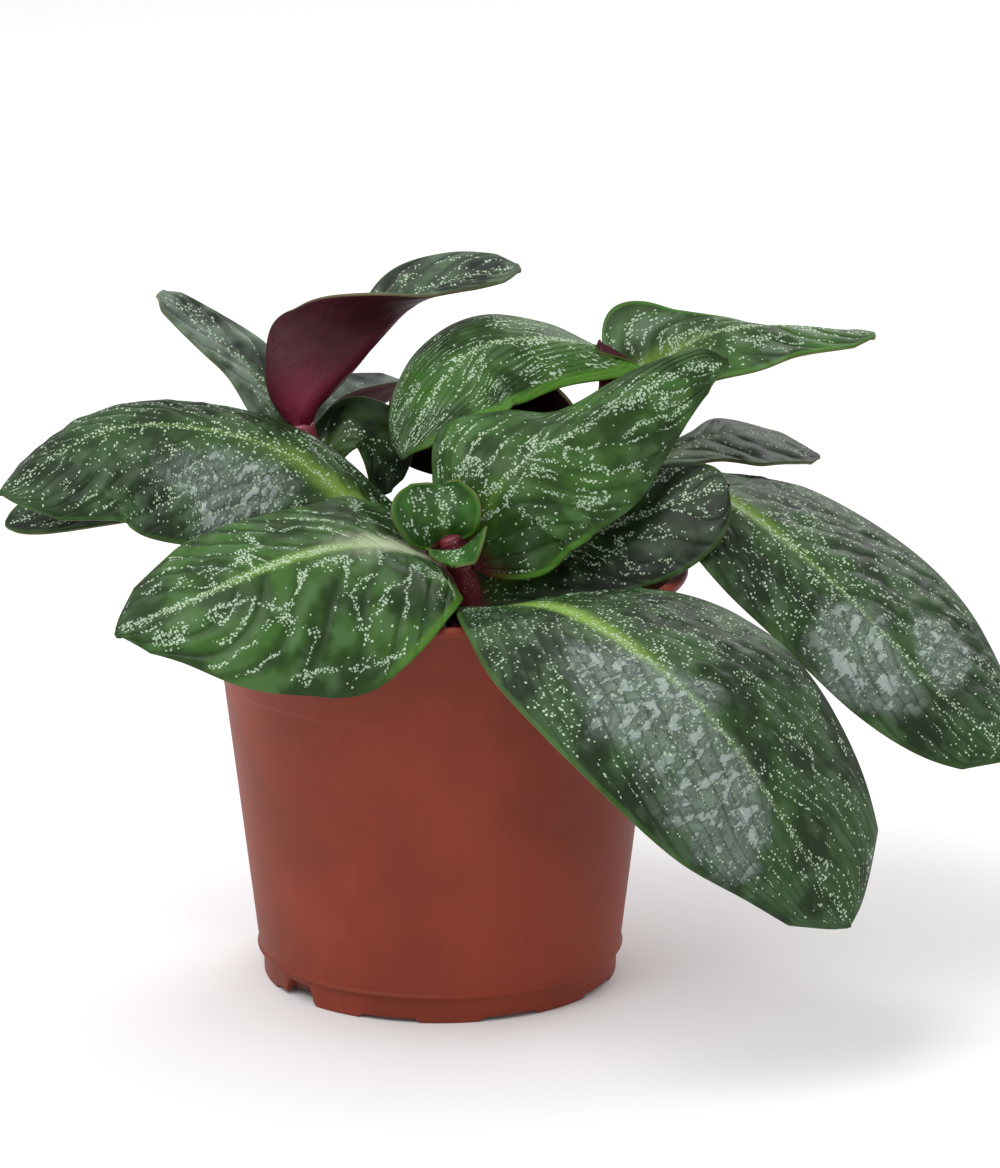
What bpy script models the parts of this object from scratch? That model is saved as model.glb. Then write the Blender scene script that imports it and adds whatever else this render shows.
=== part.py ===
"""Potted crassula: broad fleshy leaves on red stems, in a round plastic nursery pot.

+Z is up, +X runs to the right of the front view and +Y away from the front. The origin is the
middle of the pot's underside, on the ground. Sizes below are in millimetres; the meshes are
made in metres.
"""
import math
from dataclasses import dataclass

import bmesh
import bpy
import numpy as np

MM = 0.001
FIT_GAP = 0.3
COLLECTION_NAME = "potted_crassula"

# The pot: a tapering wall in two bands, with a lip above and a standing ring below.
RIM_RADIUS = 52.5
RIM_TOP = 89.4
LIP_HEIGHT = 1.9
WALL = 1.2
NECK_RADIUS = 50.6
BAND_RADIUS = 46.2
BAND_HEIGHT = 66.5
BAND_STEP = 0.4
BEAD_RADIUS = 39.1
BEAD_HEIGHT = 6.2
FOOT_RADIUS = 37.7
FOOT_WALL = 1.4
FLOOR_HEIGHT = 2.6
STANDING_DISC_RADIUS = 13.0
POT_SIDES = 72

# The foot ring stands on pads, and has two deeper drain notches.
PAD_COUNT = 9
PAD_WIDTH = 22.0
PAD_CHAMFER = 1.6
PAD_HEIGHT = 0.9
FIRST_PAD = 3.0
NOTCH_ANGLES = (-52.0, 128.0)
NOTCH_WIDTH = 15.0
NOTCH_SLOPE = 4.0
NOTCH_HEIGHT = 4.1
DRAIN_RADIUS = 3.0
DRAIN_CIRCLE = 25.0
DRAIN_COUNT = 8

# The soil fills the pot to a little below the rim.
SOIL_TOP = 77.5
SOIL_LUMP = 1.1
SOIL_SIDES = 48
SOIL_RINGS = (0.0, 0.22, 0.42, 0.6, 0.78, 0.92, 1.0)

# The grid that each leaf is modelled on.
LEAF_ROWS = 13
LEAF_COLUMNS = 9
MARGIN_THICKNESS = 0.9
MIDRIB_THICKNESS = 2.2
LOBE_PLACE = 0.08
TIP_ROUND = 0.06
STEM_SIDES = 3

POT_COLOUR = (0.33, 0.065, 0.035)
SOIL_COLOUR = (0.018, 0.011, 0.008)
STEM_COLOUR = (0.28, 0.015, 0.05)
LEAF_COLOUR = (0.025, 0.09, 0.02)
YOUNG_LEAF_COLOUR = (0.05, 0.17, 0.035)


@dataclass
class Stem:
    """A round stem through points, with a radius at each."""
    name: str
    points: list
    radii: list


@dataclass
class Leaf:
    """A blade on a stem; left and right are as seen along the upper face from base to tip."""
    name: str
    stem: str
    spine: list
    faces: list
    half_widths: tuple = (10, 10)
    outline: tuple = ((0.42, 0.5), (0.42, 0.5))
    widths: tuple = ()
    lobes: tuple = (0.0, 0.0)
    folds: tuple = ((0,), (0,))
    curls: tuple = ((0,), (0,))
    petiole: float = 0.0
    foot: float = 2.8
    thickness: float = MIDRIB_THICKNESS
    colour: tuple = LEAF_COLOUR


STEMS = [
    Stem("stem_front", [(4, -16, 66), (6, -17, 84), (4, -19, 95), (2, -20, 101)], [3.3, 3.0, 2.8, 2.5]),
    Stem("stem_middle", [(24, 10, 66), (29, 14, 100), (35, 16, 121)], [3.4, 3.0, 2.8]),
    Stem("stem_left", [(-22, 14, 66), (-26, 16, 98), (-29, 17, 116)], [3.2, 2.8, 2.6]),
    Stem("stem_right", [(30, 5, 66), (36, 8, 90), (41, 12, 109)], [3.4, 3.0, 2.8]),
]

LEAVES = [
    Leaf("leaf_front_left", "stem_front",
         spine=[(1, -20.5, 94), (-4, -25, 98), (-12, -33, 102), (-22, -42, 104), (-34, -50, 102.5),
                (-49, -55, 97), (-65, -55, 90)],
         faces=[(-0.2, -0.5, 0.9), (-0.1, -0.4, 0.9), (-0.15, -0.4, 0.9), (-0.3, -0.5, 0.8), (-0.45, -0.5, 0.75)],
         widths=((7, 17, 25.5, 31, 32.5, 29, 22.5, 11, 3), (6, 22, 19.5, 18, 18.5, 18.5, 18, 14.5, 8)), lobes=(2, 3),
         folds=((6, 14, -12, -14, -15), (4, 0)), curls=((-20, -50, -50, -40, -30), (5, -10, -15))),
    Leaf("leaf_middle_right", "stem_front",
         spine=[(4, -18, 96), (9, -19, 105), (13, -20, 112), (20, -18, 118), (29, -15, 122), (39, -10, 127),
                (48, -7, 131), (54.5, -5, 133), (60, -4, 133)],
         faces=[(-0.5, -0.8, 0.3), (-0.2, -0.9, 0.4), (0.0, -0.9, 0.4), (0.2, -0.9, 0.2), (0.5, -0.8, 0.3)],
         widths=((3, 14, 20, 18, 14, 10, 7, 4, 3), (4, 17, 20, 21, 20, 18, 13.5, 8, 3)), lobes=(0, 3),
         folds=((10, -10, -45, -50, 0), (0,)), curls=((-10, -20, 0), (-15, -20, 0))),
    Leaf("leaf_front_right", "stem_front",
         spine=[(6, -17.5, 82), (12, -32, 88.5), (25, -52, 93.5), (41, -69, 88.5), (58, -79, 73.5), (82, -79, 35.5)],
         faces=[(0.1, 0.0, 1), (0.1, -0.3, 1), (0.3, -0.6, 0.8), (0.5, -0.7, 0.4)],
         widths=((3, 15, 23, 27, 29.5, 31, 31, 27, 17), (3, 9.5, 19, 27.5, 30, 29, 24.5, 15.5, 7)),
         folds=((9, 2), (10, 0)), curls=((-25,), (0, -20, -30, -25))),
    Leaf("leaf_inner_right", "stem_front",
         spine=[(5, -18, 87), (14, -16, 90), (28, -12, 97), (44, -10, 103), (60, -11, 109)],
         faces=[(-0.1, -0.7, 0.7)],
         half_widths=(12, 15), outline=((0.6, 0.4), (0.8, 0.4)), curls=((-20,), (-20,))),
    Leaf("leaf_left", "stem_front",
         spine=[(4, -17, 86), (-6, -10, 93), (-16, -5, 102), (-31, -1, 113), (-50, 3, 118), (-71, 4, 117),
                (-92, 0, 105)],
         faces=[(0, -0.4, 1), (-0.1, -0.5, 0.9), (-0.5, -0.5, 0.7)],
         widths=((3, 10, 17.5, 22.5, 26, 26.5, 24, 18.5, 8), (3, 9, 11.5, 13, 13.5, 13.5, 13, 11.5, 7)),
         curls=((-45,), (-45,))),
    Leaf("leaf_far_right", "stem_right",
         spine=[(40, 11, 101), (51, 6, 105), (64, -3, 102), (83, -14, 88), (102, -24, 70), (119, -28, 55)],
         faces=[(0.1, -0.1, 1), (0.3, -0.5, 0.8), (0.4, -0.6, 0.6)],
         widths=((3, 20, 25, 28, 30, 30.5, 28, 22, 10), (3, 12, 17, 19.5, 19.5, 19, 17.5, 13.5, 6)),
         curls=((-25,), (-25,))),
    Leaf("leaf_back_right_low", "stem_right",
         spine=[(41, 12, 107), (48, 17, 109), (57, 24, 110.5), (66, 28, 111), (76, 31, 108), (82, 33, 104.5)],
         faces=[(0, -0.2, 1), (0.1, -0.3, 1), (0.3, -0.3, 0.9), (0.7, -0.1, 0.6)],
         widths=((3, 2, 3.5, 11, 9.5, 4), (3, 6, 8.5, 12, 9, 4)),
         folds=((0, 0, -20, -20), (0,)), curls=((-20, 0), (0,))),
    Leaf("leaf_back_right", "stem_right",
         spine=[(37, 9, 92), (53, 27, 99), (65, 40, 96), (73, 50, 86)],
         faces=[(0, 0, 1), (0.4, 0.4, 0.8)],
         half_widths=(13, 13), curls=((-25,), (-25,))),
    Leaf("leaf_top_middle", "stem_middle",
         spine=[(34.5, 15.5, 116), (37.5, 17.5, 124.5), (37, 18, 131), (28, 16.5, 133.8), (17, 12.5, 135),
                (7, 8.5, 133), (-1, 3, 125.5), (-8, -4, 113.5)],
         faces=[(0.7, 0.7, 0.0), (0.3, 0.0, 1), (0, -0.4, 1), (-0.2, -0.5, 0.9), (-0.6, -0.5, 0.7), (-0.9, -0.5, 0.3)],
         widths=((3, 9, 11.5, 14, 14.5, 15, 12, 8, 3), (3, 14, 14, 14.5, 15.5, 17.5, 17.5, 14, 5)), lobes=(13, 11),
         folds=((0, 0, -5, -20, -15, -10, 0), (-75, -75, -20, 0, 0, 0, 0)),
         curls=((-10, -25, -30), (-20, -30, -30)), petiole=0.27),
    Leaf("leaf_top_right", "stem_middle",
         spine=[(35.5, 17, 115), (40, 21, 120), (46, 21, 127), (54, 18, 133.5), (63, 16, 136.5), (75, 16, 137),
                (92, 16, 135)],
         faces=[(-0.5, -0.6, 0.8), (-0.2, -0.6, 1), (0.0, -0.5, 1), (0.1, -0.4, 1), (0.3, -0.4, 0.9)],
         widths=((3, 5, 17, 10, 6, 6, 6.5, 5, 3), (3, 8, 12, 13.5, 14.5, 14, 10.5, 7, 3)),
         folds=((35, 25, 0, -50, -20), (0,)), curls=((0, -20, 0), (-15, 0))),
    Leaf("leaf_back", "stem_middle",
         spine=[(30, 15, 105), (27, 22, 113), (17, 29, 117), (3, 32, 114), (-9, 32, 104)],
         faces=[(0.3, 0.6, 0.7), (0, 0.8, 0.5), (-0.3, 0.8, 0.4)],
         widths=((8, 19, 19, 18, 7), (3, 10, 14, 17, 8)), curls=((-15,), (-15,))),
    Leaf("leaf_top_left", "stem_left",
         spine=[(-29, 17, 115), (-26.8, 17, 120.5), (-19.2, 20, 128), (-8.2, 23, 140), (3.2, 26, 144.8), (17, 28, 147)],
         faces=[(-0.6, 0.2, 0.55), (-0.6, 0.2, 0.6), (-0.2, -0.1, 0.9), (0, -0.4, 1)],
         widths=((3, 8, 12, 13, 12, 9, 4), (3, 16, 15.2, 11.8, 5.5, 5.2, 3)),
         folds=((30, 20, 0), (85, 85, 72, 35, 0, -5, 0)), curls=((0,), (20, 0))),
    Leaf("leaf_upper_left", "stem_left",
         spine=[(-29, 17, 107.5), (-34, 19.3, 117.2), (-40, 23, 126), (-47, 26, 132), (-59, 30, 141)],
         faces=[(0.3, -0.5, 0.8)],
         widths=((3, 5.5, 5.5, 5, 3), (1, 5.5, 8, 6, 3))),
    Leaf("leaf_left_low", "stem_left",
         spine=[(-27, 16, 101), (-45, 22, 105), (-62, 20, 102), (-76, 18, 99), (-92, 16, 94)],
         faces=[(-0.1, -0.5, 1)],
         half_widths=(11, 11)),
    Leaf("leaf_inner_left", "stem_left",
         spine=[(-27, 15, 104), (-22.5, 15.5, 111), (-16.5, 15.5, 114), (-12.5, 15, 109), (-11, 14.5, 101)],
         faces=[(0.1, -0.4, 0.9), (0.2, -0.6, 0.7), (0.5, -0.8, 0.3)],
         widths=((2.5, 6, 9, 8, 3), (2.5, 3, 3, 3.5, 3))),
    Leaf("leaf_back_folded", "stem_left",
         spine=[(-28, 18.5, 105.5), (-28, 25.5, 110), (-23, 31, 113.5), (-14, 37, 116), (-6, 43, 117.5)],
         faces=[(-0.2, -0.1, 1)],
         widths=((3, 11, 12, 11, 6), (2, 5, 6, 6, 4)), folds=((20,), (25, 50, 30))),
    Leaf("leaf_back_left", "stem_left",
         spine=[(-26, 16, 95), (-33, 32, 104), (-44, 48, 102), (-54, 62, 92)],
         faces=[(0, 0.1, 1), (-0.3, 0.4, 0.8)],
         half_widths=(15, 15), curls=((-25,), (-25,))),
    Leaf("bud_leaf_left", "stem_front",
         spine=[(1.5, -20.5, 99.5), (1, -22, 103), (0.5, -20.5, 107), (0, -17, 110.5)],
         faces=[(0.1, -0.9, 0.3), (0, -0.9, 0.4), (0, -0.8, 0.7)],
         widths=((2, 7, 10, 10.5, 8.5, 5), (2, 6, 8, 8, 6, 4)), curls=((40,), (50,)),
         foot=2.0, thickness=1.4, colour=YOUNG_LEAF_COLOUR),
    Leaf("bud_leaf_front", "stem_front",
         spine=[(2.7, -21.5, 96.2), (3.7, -26, 99.2), (3.7, -30, 100.2), (2.7, -32.5, 97.7)],
         faces=[(-0.3, 0.9, 0.3), (-0.2, 0, 1), (-0.3, -1, 0.2)],
         widths=((2, 6, 7, 6.5, 5), (2, 5, 6, 6, 4)), folds=((10,), (0,)), curls=((30,), (20,)),
         foot=2.0, thickness=1.4, colour=YOUNG_LEAF_COLOUR),
]


def through(points, places):
    """Points read along a smooth curve through evenly numbered points, at places from 0 to 1."""
    given = np.array(points, dtype=float)
    given = given[:, None] if given.ndim == 1 else given
    if len(given) == 1:
        return np.repeat(given, len(places), axis=0)
    ends = np.vstack([2 * given[0] - given[1], given, 2 * given[-1] - given[-2]])
    where = np.clip(places, 0, 1) * (len(given) - 1)
    first = np.minimum(where.astype(int), len(given) - 2)
    u = (where - first)[:, None]
    a, b, c, d = (ends[first + k] for k in range(4))
    return 0.5 * (2 * b + (c - a) * u + (2 * a - 5 * b + 4 * c - d) * u**2
                  + (3 * b - a - 3 * c + d) * u**3)


def unit(vectors):
    """Vectors of length one."""
    return vectors / np.linalg.norm(vectors, axis=-1, keepdims=True)


def leaf_frames(leaf, places):
    """Midrib points with their forward, upward and rightward directions."""
    fine = np.linspace(0, 1, 300)
    curve = through(leaf.spine, fine)
    run = np.concatenate([[0], np.cumsum(np.linalg.norm(np.diff(curve, axis=0), axis=1))])
    at = np.interp(places * run[-1], run, fine)
    slopes = unit(np.gradient(curve, axis=0))
    forward = unit(np.stack([np.interp(at, fine, slopes[:, k]) for k in range(3)], axis=-1))
    face = through(leaf.faces, places)
    upward = unit(face - (face * forward).sum(axis=-1, keepdims=True) * forward)
    return through(leaf.spine, at), forward, upward, np.cross(forward, upward)


def blade_width(leaf, side, places):
    """Width of one half for places along the midrib, from its list or from its outline."""
    if leaf.widths:
        return through(leaf.widths[side], places)[:, 0] * np.sqrt(np.clip((1 - places) / TIP_ROUND, 0, 1))
    towards_base, towards_tip = leaf.outline[side]
    widest = towards_base / (towards_base + towards_tip)
    rise = (places / widest)**towards_base
    return leaf.half_widths[side] * rise * ((1 - places) / (1 - widest))**towards_tip


def leaf_surface(leaf, rows, columns):
    """The upper face as a grid of points, and the thickness of the leaf at each."""
    even = np.linspace(0, 1, rows)
    along = 0.225 * (1 - np.cos(math.pi * even)) + 0.55 * even
    spine, forward, upward, rightward = leaf_frames(leaf, along)
    blade = np.clip((along - leaf.petiole) / (1 - leaf.petiole), 0, 1)
    points = np.zeros((rows, columns, 3))
    thickness = np.zeros((rows, columns))
    for column, across in enumerate(np.linspace(-1, 1, columns)):
        side = 0 if across < 0 else 1
        out = 1 - (1 - abs(across))**1.15
        fold = np.radians(through(leaf.folds[side], along)[:, 0])
        curl = np.radians(through(leaf.curls[side], along)[:, 0]) * out
        width = blade_width(leaf, side, blade)
        half = np.maximum(np.hypot(width, leaf.foot * (1 - along)), 1.4 * MARGIN_THICKNESS)
        reach = (half * out * np.sinc(curl / 2 / math.pi))[:, None]
        turn = (fold + curl / 2)[:, None]
        back = leaf.lobes[side] * blade / LOBE_PLACE * np.exp(1 - blade / LOBE_PLACE) * out**1.3
        outward = rightward * (-1 if side == 0 else 1)
        points[:, column] = (spine + reach * (np.cos(turn) * outward + np.sin(turn) * upward)
                             - back[:, None] * forward)
        flesh = (1 - out**1.6) * np.clip(half / 8, 0.25, 1) * (1 + 0.4 * (1 - along)**6)
        thickness[:, column] = MARGIN_THICKNESS + (leaf.thickness - MARGIN_THICKNESS) * flesh
    return points, thickness


def make_material(name, colour, roughness, coat=0.0):
    """A plain Principled material."""
    material = bpy.data.materials.new(name)
    material.use_nodes = True
    shader = material.node_tree.nodes["Principled BSDF"]
    shader.inputs["Base Color"].default_value = (*colour, 1)
    shader.inputs["Roughness"].default_value = roughness
    shader.inputs["Coat Weight"].default_value = coat
    return material


def add_object(name, mesh, collection, material=None):
    """A new object in a collection."""
    made = bpy.data.objects.new(name, mesh)
    collection.objects.link(made)
    if material:
        mesh.materials.append(material)
        mesh.shade_smooth()
        mesh.set_sharp_from_angle(angle=math.radians(40))
    return made


def as_cutter(cutter):
    """Hides a cutter and shows it as wire."""
    cutter.hide_render = True
    cutter.display_type = "WIRE"
    return cutter


def cut(target, cutter):
    """Cuts a cutter's shape out of an object."""
    boolean = target.modifiers.new("cut by " + cutter.name, "BOOLEAN")
    boolean.operation = "DIFFERENCE"
    boolean.solver = "EXACT"
    boolean.object = cutter


def turned(name, profile, sides, collection, material=None):
    """A profile of radius and height pairs, turned about the Z axis."""
    mesh = bpy.data.meshes.new(name)
    points = [(radius * MM, 0, height * MM) for radius, height in profile]
    mesh.from_pydata(points, [(k, k + 1) for k in range(len(points) - 1)], [])
    made = add_object(name, mesh, collection, material)
    screw = made.modifiers.new("turn", "SCREW")
    screw.steps = sides
    screw.render_steps = sides
    screw.use_merge_vertices = True
    screw.merge_threshold = 0.00001
    return made


def settled(made):
    """The object with its modifiers applied, as an editable mesh."""
    mesh = bpy.data.meshes.new_from_object(made.evaluated_get(bpy.context.evaluated_depsgraph_get()))
    made.modifiers.clear()
    made.data = mesh
    return made


def band_profile(inset):
    """The pot's wall from the lip down to the foot, moved inwards by a distance."""
    return [
        (NECK_RADIUS - inset, RIM_TOP - LIP_HEIGHT - 0.2),
        (BAND_RADIUS - inset, BAND_HEIGHT),
        (BAND_RADIUS - BAND_STEP - inset, BAND_HEIGHT - 0.4),
        (BEAD_RADIUS - 0.4 - inset, BEAD_HEIGHT + 0.5),
    ]


def floor_profile(lift):
    """The pot's floor from its edge to the axis, raised by a distance."""
    return [
        (STANDING_DISC_RADIUS + 1.2 - 0.5 * lift, FLOOR_HEIGHT + lift),
        (STANDING_DISC_RADIUS - 0.5 * lift, lift),
        (0, lift),
    ]


def make_pot(collection, cutters):
    """The pot, with pads and notches in its foot ring and holes in its floor."""
    foot_inside = FOOT_RADIUS - FOOT_WALL
    lip = [
        (NECK_RADIUS - WALL + 0.2, RIM_TOP - 0.5),
        (NECK_RADIUS - WALL + 0.8, RIM_TOP),
        (RIM_RADIUS - 0.6, RIM_TOP),
        (RIM_RADIUS, RIM_TOP - 0.6),
        (RIM_RADIUS, RIM_TOP - LIP_HEIGHT + 0.4),
        (RIM_RADIUS - 0.4, RIM_TOP - LIP_HEIGHT),
    ]
    foot = [
        (BEAD_RADIUS, BEAD_HEIGHT + 0.1),
        (BEAD_RADIUS, BEAD_HEIGHT - 0.3),
        (FOOT_RADIUS + 0.1, BEAD_HEIGHT - 0.7),
        (FOOT_RADIUS, 0.3),
        (FOOT_RADIUS - 0.3, 0),
        (foot_inside, 0),
        (foot_inside - 0.2, FLOOR_HEIGHT),
    ]
    inside = [
        (foot_inside - 0.2, FLOOR_HEIGHT + WALL),
        (BEAD_RADIUS - 0.4 - WALL, BEAD_HEIGHT + 0.5),
    ]
    inner_wall = [*floor_profile(WALL)[::-1], *inside, *band_profile(WALL)[-2::-1]]
    profile = [*inner_wall, *lip, *band_profile(0), *foot, *floor_profile(0)]
    material = make_material("pot", POT_COLOUR, 0.42)
    pot = turned("pot", profile, POT_SIDES, collection, material)
    cut(pot, foot_cutter(cutters))
    cut(pot, drain_cutter(cutters))
    return pot


def add_block(mesh, angle, low, high, width, narrowing, radius):
    """A block across the foot ring at an angle from the front, narrowing upwards, for a cutter."""
    depth = 6.0
    made = bmesh.ops.create_cube(mesh, size=1)["verts"]
    turn = math.radians(angle)
    for vertex in made:
        x, y, z = vertex.co
        tangent = -x * (width - narrowing * (z + 0.5))
        outward = radius + y * depth
        vertex.co = (
            (tangent * math.cos(turn) + outward * math.sin(turn)) * MM,
            (tangent * math.sin(turn) - outward * math.cos(turn)) * MM,
            (low + (z + 0.5) * (high - low)) * MM,
        )


def foot_cutter(cutters):
    """Blocks that leave the pads of the foot ring, and the taller drain notches."""
    mesh = bmesh.new()
    spacing = 360 / PAD_COUNT
    ring_middle = FOOT_RADIUS - FOOT_WALL / 2
    chord = 2 * ring_middle * math.sin(math.radians(spacing - PAD_WIDTH) / 2)
    for k in range(PAD_COUNT):
        middle = FIRST_PAD + (k + 0.5) * spacing
        add_block(mesh, middle, -1.0, PAD_HEIGHT, chord, PAD_CHAMFER, ring_middle + 0.6)
    made = bpy.data.meshes.new("foot_cutter")
    mesh.to_mesh(made)
    mesh.free()
    return as_cutter(add_object("foot_cutter", made, cutters))


def notch_cutters(cutters):
    """The two taller drain notches, as cutters of their own."""
    made = []
    chord = 2 * FOOT_RADIUS * math.sin(math.radians(NOTCH_WIDTH) / 2)
    for k, angle in enumerate(NOTCH_ANGLES):
        mesh = bmesh.new()
        add_block(mesh, angle, -1.0, NOTCH_HEIGHT, chord, NOTCH_SLOPE, FOOT_RADIUS)
        data = bpy.data.meshes.new("notch_cutter_%d" % k)
        mesh.to_mesh(data)
        mesh.free()
        made.append(as_cutter(add_object(data.name, data, cutters)))
    return made


def drain_cutter(cutters):
    """Round posts that leave a ring of drain holes in the raised floor."""
    mesh = bmesh.new()
    for k in range(DRAIN_COUNT):
        turn = 2 * math.pi * (k + 0.5) / DRAIN_COUNT
        post = bmesh.ops.create_cone(mesh, cap_ends=True, segments=16, radius1=DRAIN_RADIUS * MM,
                                     radius2=DRAIN_RADIUS * MM, depth=4 * MM)["verts"]
        place = (DRAIN_CIRCLE * math.sin(turn) * MM, -DRAIN_CIRCLE * math.cos(turn) * MM,
                 (FLOOR_HEIGHT + WALL / 2) * MM)
        bmesh.ops.translate(mesh, verts=post, vec=place)
    made = bpy.data.meshes.new("drain_cutter")
    mesh.to_mesh(made)
    mesh.free()
    return as_cutter(add_object("drain_cutter", made, cutters))


def soil_height(x, y):
    """Lumps of the soil's surface, in millimetres above and below its level."""
    return SOIL_LUMP * (math.sin(0.19 * x + 1.3) * math.cos(0.23 * y) + 0.6 * math.sin(0.41 * x - 0.37 * y)
                        + 0.4 * math.cos(0.53 * y + 0.29 * x)) - 0.5


def make_soil(collection, stem_cutters):
    """The soil, a little clear of the pot, with a plain hole for each stem."""
    wall = band_profile(WALL + FIT_GAP + 0.1)
    slope = (wall[0][0] - wall[1][0]) / (wall[0][1] - wall[1][1])
    top_radius = wall[1][0] + slope * (SOIL_TOP - wall[1][1])
    top = [(ring * top_radius, SOIL_TOP) for ring in SOIL_RINGS]
    floor = floor_profile(WALL + FIT_GAP)
    edge = (FOOT_RADIUS - FOOT_WALL - 0.9, FLOOR_HEIGHT + WALL + FIT_GAP)
    profile = [*top, *wall[1:], edge, *floor]
    soil = settled(turned("soil", profile, SOIL_SIDES, collection, make_material("soil", SOIL_COLOUR, 0.95)))
    for vertex in soil.data.vertices:
        x, y, z = vertex.co / MM
        if z > SOIL_TOP - 0.1:
            inward = min(1, (top_radius - math.hypot(x, y)) / 8)
            vertex.co.z += soil_height(x, y) * inward * MM
    for cutter in stem_cutters:
        cut(soil, cutter)
    return soil


def stem_mesh(stem, grow):
    """A stem's tube as a mesh, its radius and length grown by a distance."""
    curve = bpy.data.curves.new(stem.name, "CURVE")
    curve.dimensions = "3D"
    curve.bevel_depth = MM
    curve.bevel_resolution = STEM_SIDES
    curve.use_fill_caps = True
    places = np.linspace(0, 1, 9)
    points = through(stem.points, places)
    radii = through(stem.radii, places)[:, 0] + grow
    points[0] -= unit(points[1] - points[0]) * grow
    points[-1] += unit(points[-1] - points[-2]) * grow
    spline = curve.splines.new("POLY")
    spline.points.add(len(points) - 1)
    for target, point, radius in zip(spline.points, points, radii):
        target.co = (*(point * MM), 1)
        target.radius = radius
    holder = bpy.data.objects.new(stem.name + "_curve", curve)
    bpy.context.scene.collection.objects.link(holder)
    mesh = bpy.data.meshes.new_from_object(holder.evaluated_get(bpy.context.evaluated_depsgraph_get()))
    bpy.data.objects.remove(holder)
    welded = bmesh.new()
    welded.from_mesh(mesh)
    bmesh.ops.remove_doubles(welded, verts=welded.verts, dist=0.00001)
    bmesh.ops.recalc_face_normals(welded, faces=welded.faces)
    welded.to_mesh(mesh)
    welded.free()
    mesh.name = stem.name
    return mesh


def make_leaf(leaf, collection, stem_cutter):
    """A leaf: its upper face thickened downwards, and seated against its stem."""
    points, thickness = leaf_surface(leaf, LEAF_ROWS, LEAF_COLUMNS)
    grid = bmesh.new()
    bmesh.ops.create_grid(grid, x_segments=LEAF_COLUMNS - 1, y_segments=LEAF_ROWS - 1, size=1)
    grid.verts.ensure_lookup_table()
    places = []
    for vertex in grid.verts:
        column = round((vertex.co.x + 1) / 2 * (LEAF_COLUMNS - 1))
        row = round((vertex.co.y + 1) / 2 * (LEAF_ROWS - 1))
        vertex.co = points[row, column] * MM
        places.append((row, column))
    mesh = bpy.data.meshes.new(leaf.name)
    grid.to_mesh(mesh)
    grid.free()
    made = add_object(leaf.name, mesh, collection, make_material(leaf.name, leaf.colour, 0.3, 0.3))
    most = thickness.max()
    group = made.vertex_groups.new(name="thickness")
    for index, place in enumerate(places):
        group.add([index], thickness[place] / most, "REPLACE")
    split = made.modifiers.new("split alike", "TRIANGULATE")
    split.quad_method = "FIXED"
    shell = made.modifiers.new("flesh", "SOLIDIFY")
    shell.thickness = most * MM
    shell.offset = -1
    shell.vertex_group = group.name
    cut(made, stem_cutter)
    return made


def main():
    """Clears the scene and models the potted plant."""
    for old in list(bpy.data.objects):
        bpy.data.objects.remove(old)
    collection = bpy.data.collections.new(COLLECTION_NAME)
    cutters = bpy.data.collections.new("cutters")
    bpy.context.scene.collection.children.link(collection)
    bpy.context.scene.collection.children.link(cutters)
    pot = make_pot(collection, cutters)
    for cutter in notch_cutters(cutters):
        cut(pot, cutter)
    stem_cutters = {}
    for stem in STEMS:
        material = make_material(stem.name, STEM_COLOUR, 0.4)
        add_object(stem.name, stem_mesh(stem, 0), collection, material)
        cutter = add_object(stem.name + "_cutter", stem_mesh(stem, FIT_GAP), cutters)
        stem_cutters[stem.name] = as_cutter(cutter)
    make_soil(collection, stem_cutters.values())
    for leaf in LEAVES:
        make_leaf(leaf, collection, stem_cutters[leaf.stem])


if __name__ == "__main__":
    main()
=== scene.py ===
"""A potted crassula: broad speckled leaves on red stems, in a round plastic nursery pot.

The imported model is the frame. Each piece is worked out in millimetres in that frame, stands for
the plain solid in the same place, and gets its finish from nodes alone.
"""
import math
from dataclasses import dataclass
from types import SimpleNamespace

import bmesh
import bpy
import numpy as np
from bpy.props import FloatProperty, FloatVectorProperty, IntProperty, PointerProperty
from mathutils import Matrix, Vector


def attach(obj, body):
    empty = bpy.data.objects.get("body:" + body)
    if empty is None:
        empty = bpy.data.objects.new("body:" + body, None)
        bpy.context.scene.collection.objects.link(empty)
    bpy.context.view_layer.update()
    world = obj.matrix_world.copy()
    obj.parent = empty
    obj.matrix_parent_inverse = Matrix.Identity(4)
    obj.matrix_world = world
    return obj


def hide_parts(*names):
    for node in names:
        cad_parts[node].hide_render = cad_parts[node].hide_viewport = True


bl_info = {
    "name": "Potted crassula",
    "version": (1, 0, 0),
    "blender": (4, 5, 0),
    "location": "3D View > Sidebar > Crassula",
    "description": "Models a potted crassula with speckled leaves around its plain solids",
    "category": "Add Mesh",
}

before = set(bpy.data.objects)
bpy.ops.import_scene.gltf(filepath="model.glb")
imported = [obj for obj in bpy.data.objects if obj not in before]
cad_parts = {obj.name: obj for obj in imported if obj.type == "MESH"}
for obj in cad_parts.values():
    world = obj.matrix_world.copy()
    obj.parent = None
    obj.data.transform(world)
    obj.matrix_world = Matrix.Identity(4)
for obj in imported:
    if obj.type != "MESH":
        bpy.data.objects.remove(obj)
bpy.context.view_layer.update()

MM = 0.001

# The camera stands in front of the plant and looks a little down at it.
CAMERA_PLACE = (0.0, -1.15, 0.4004)
CAMERA_AIM = (0.01284, 0.0, 0.08465)
CAMERA_LENS = 174.33

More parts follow.
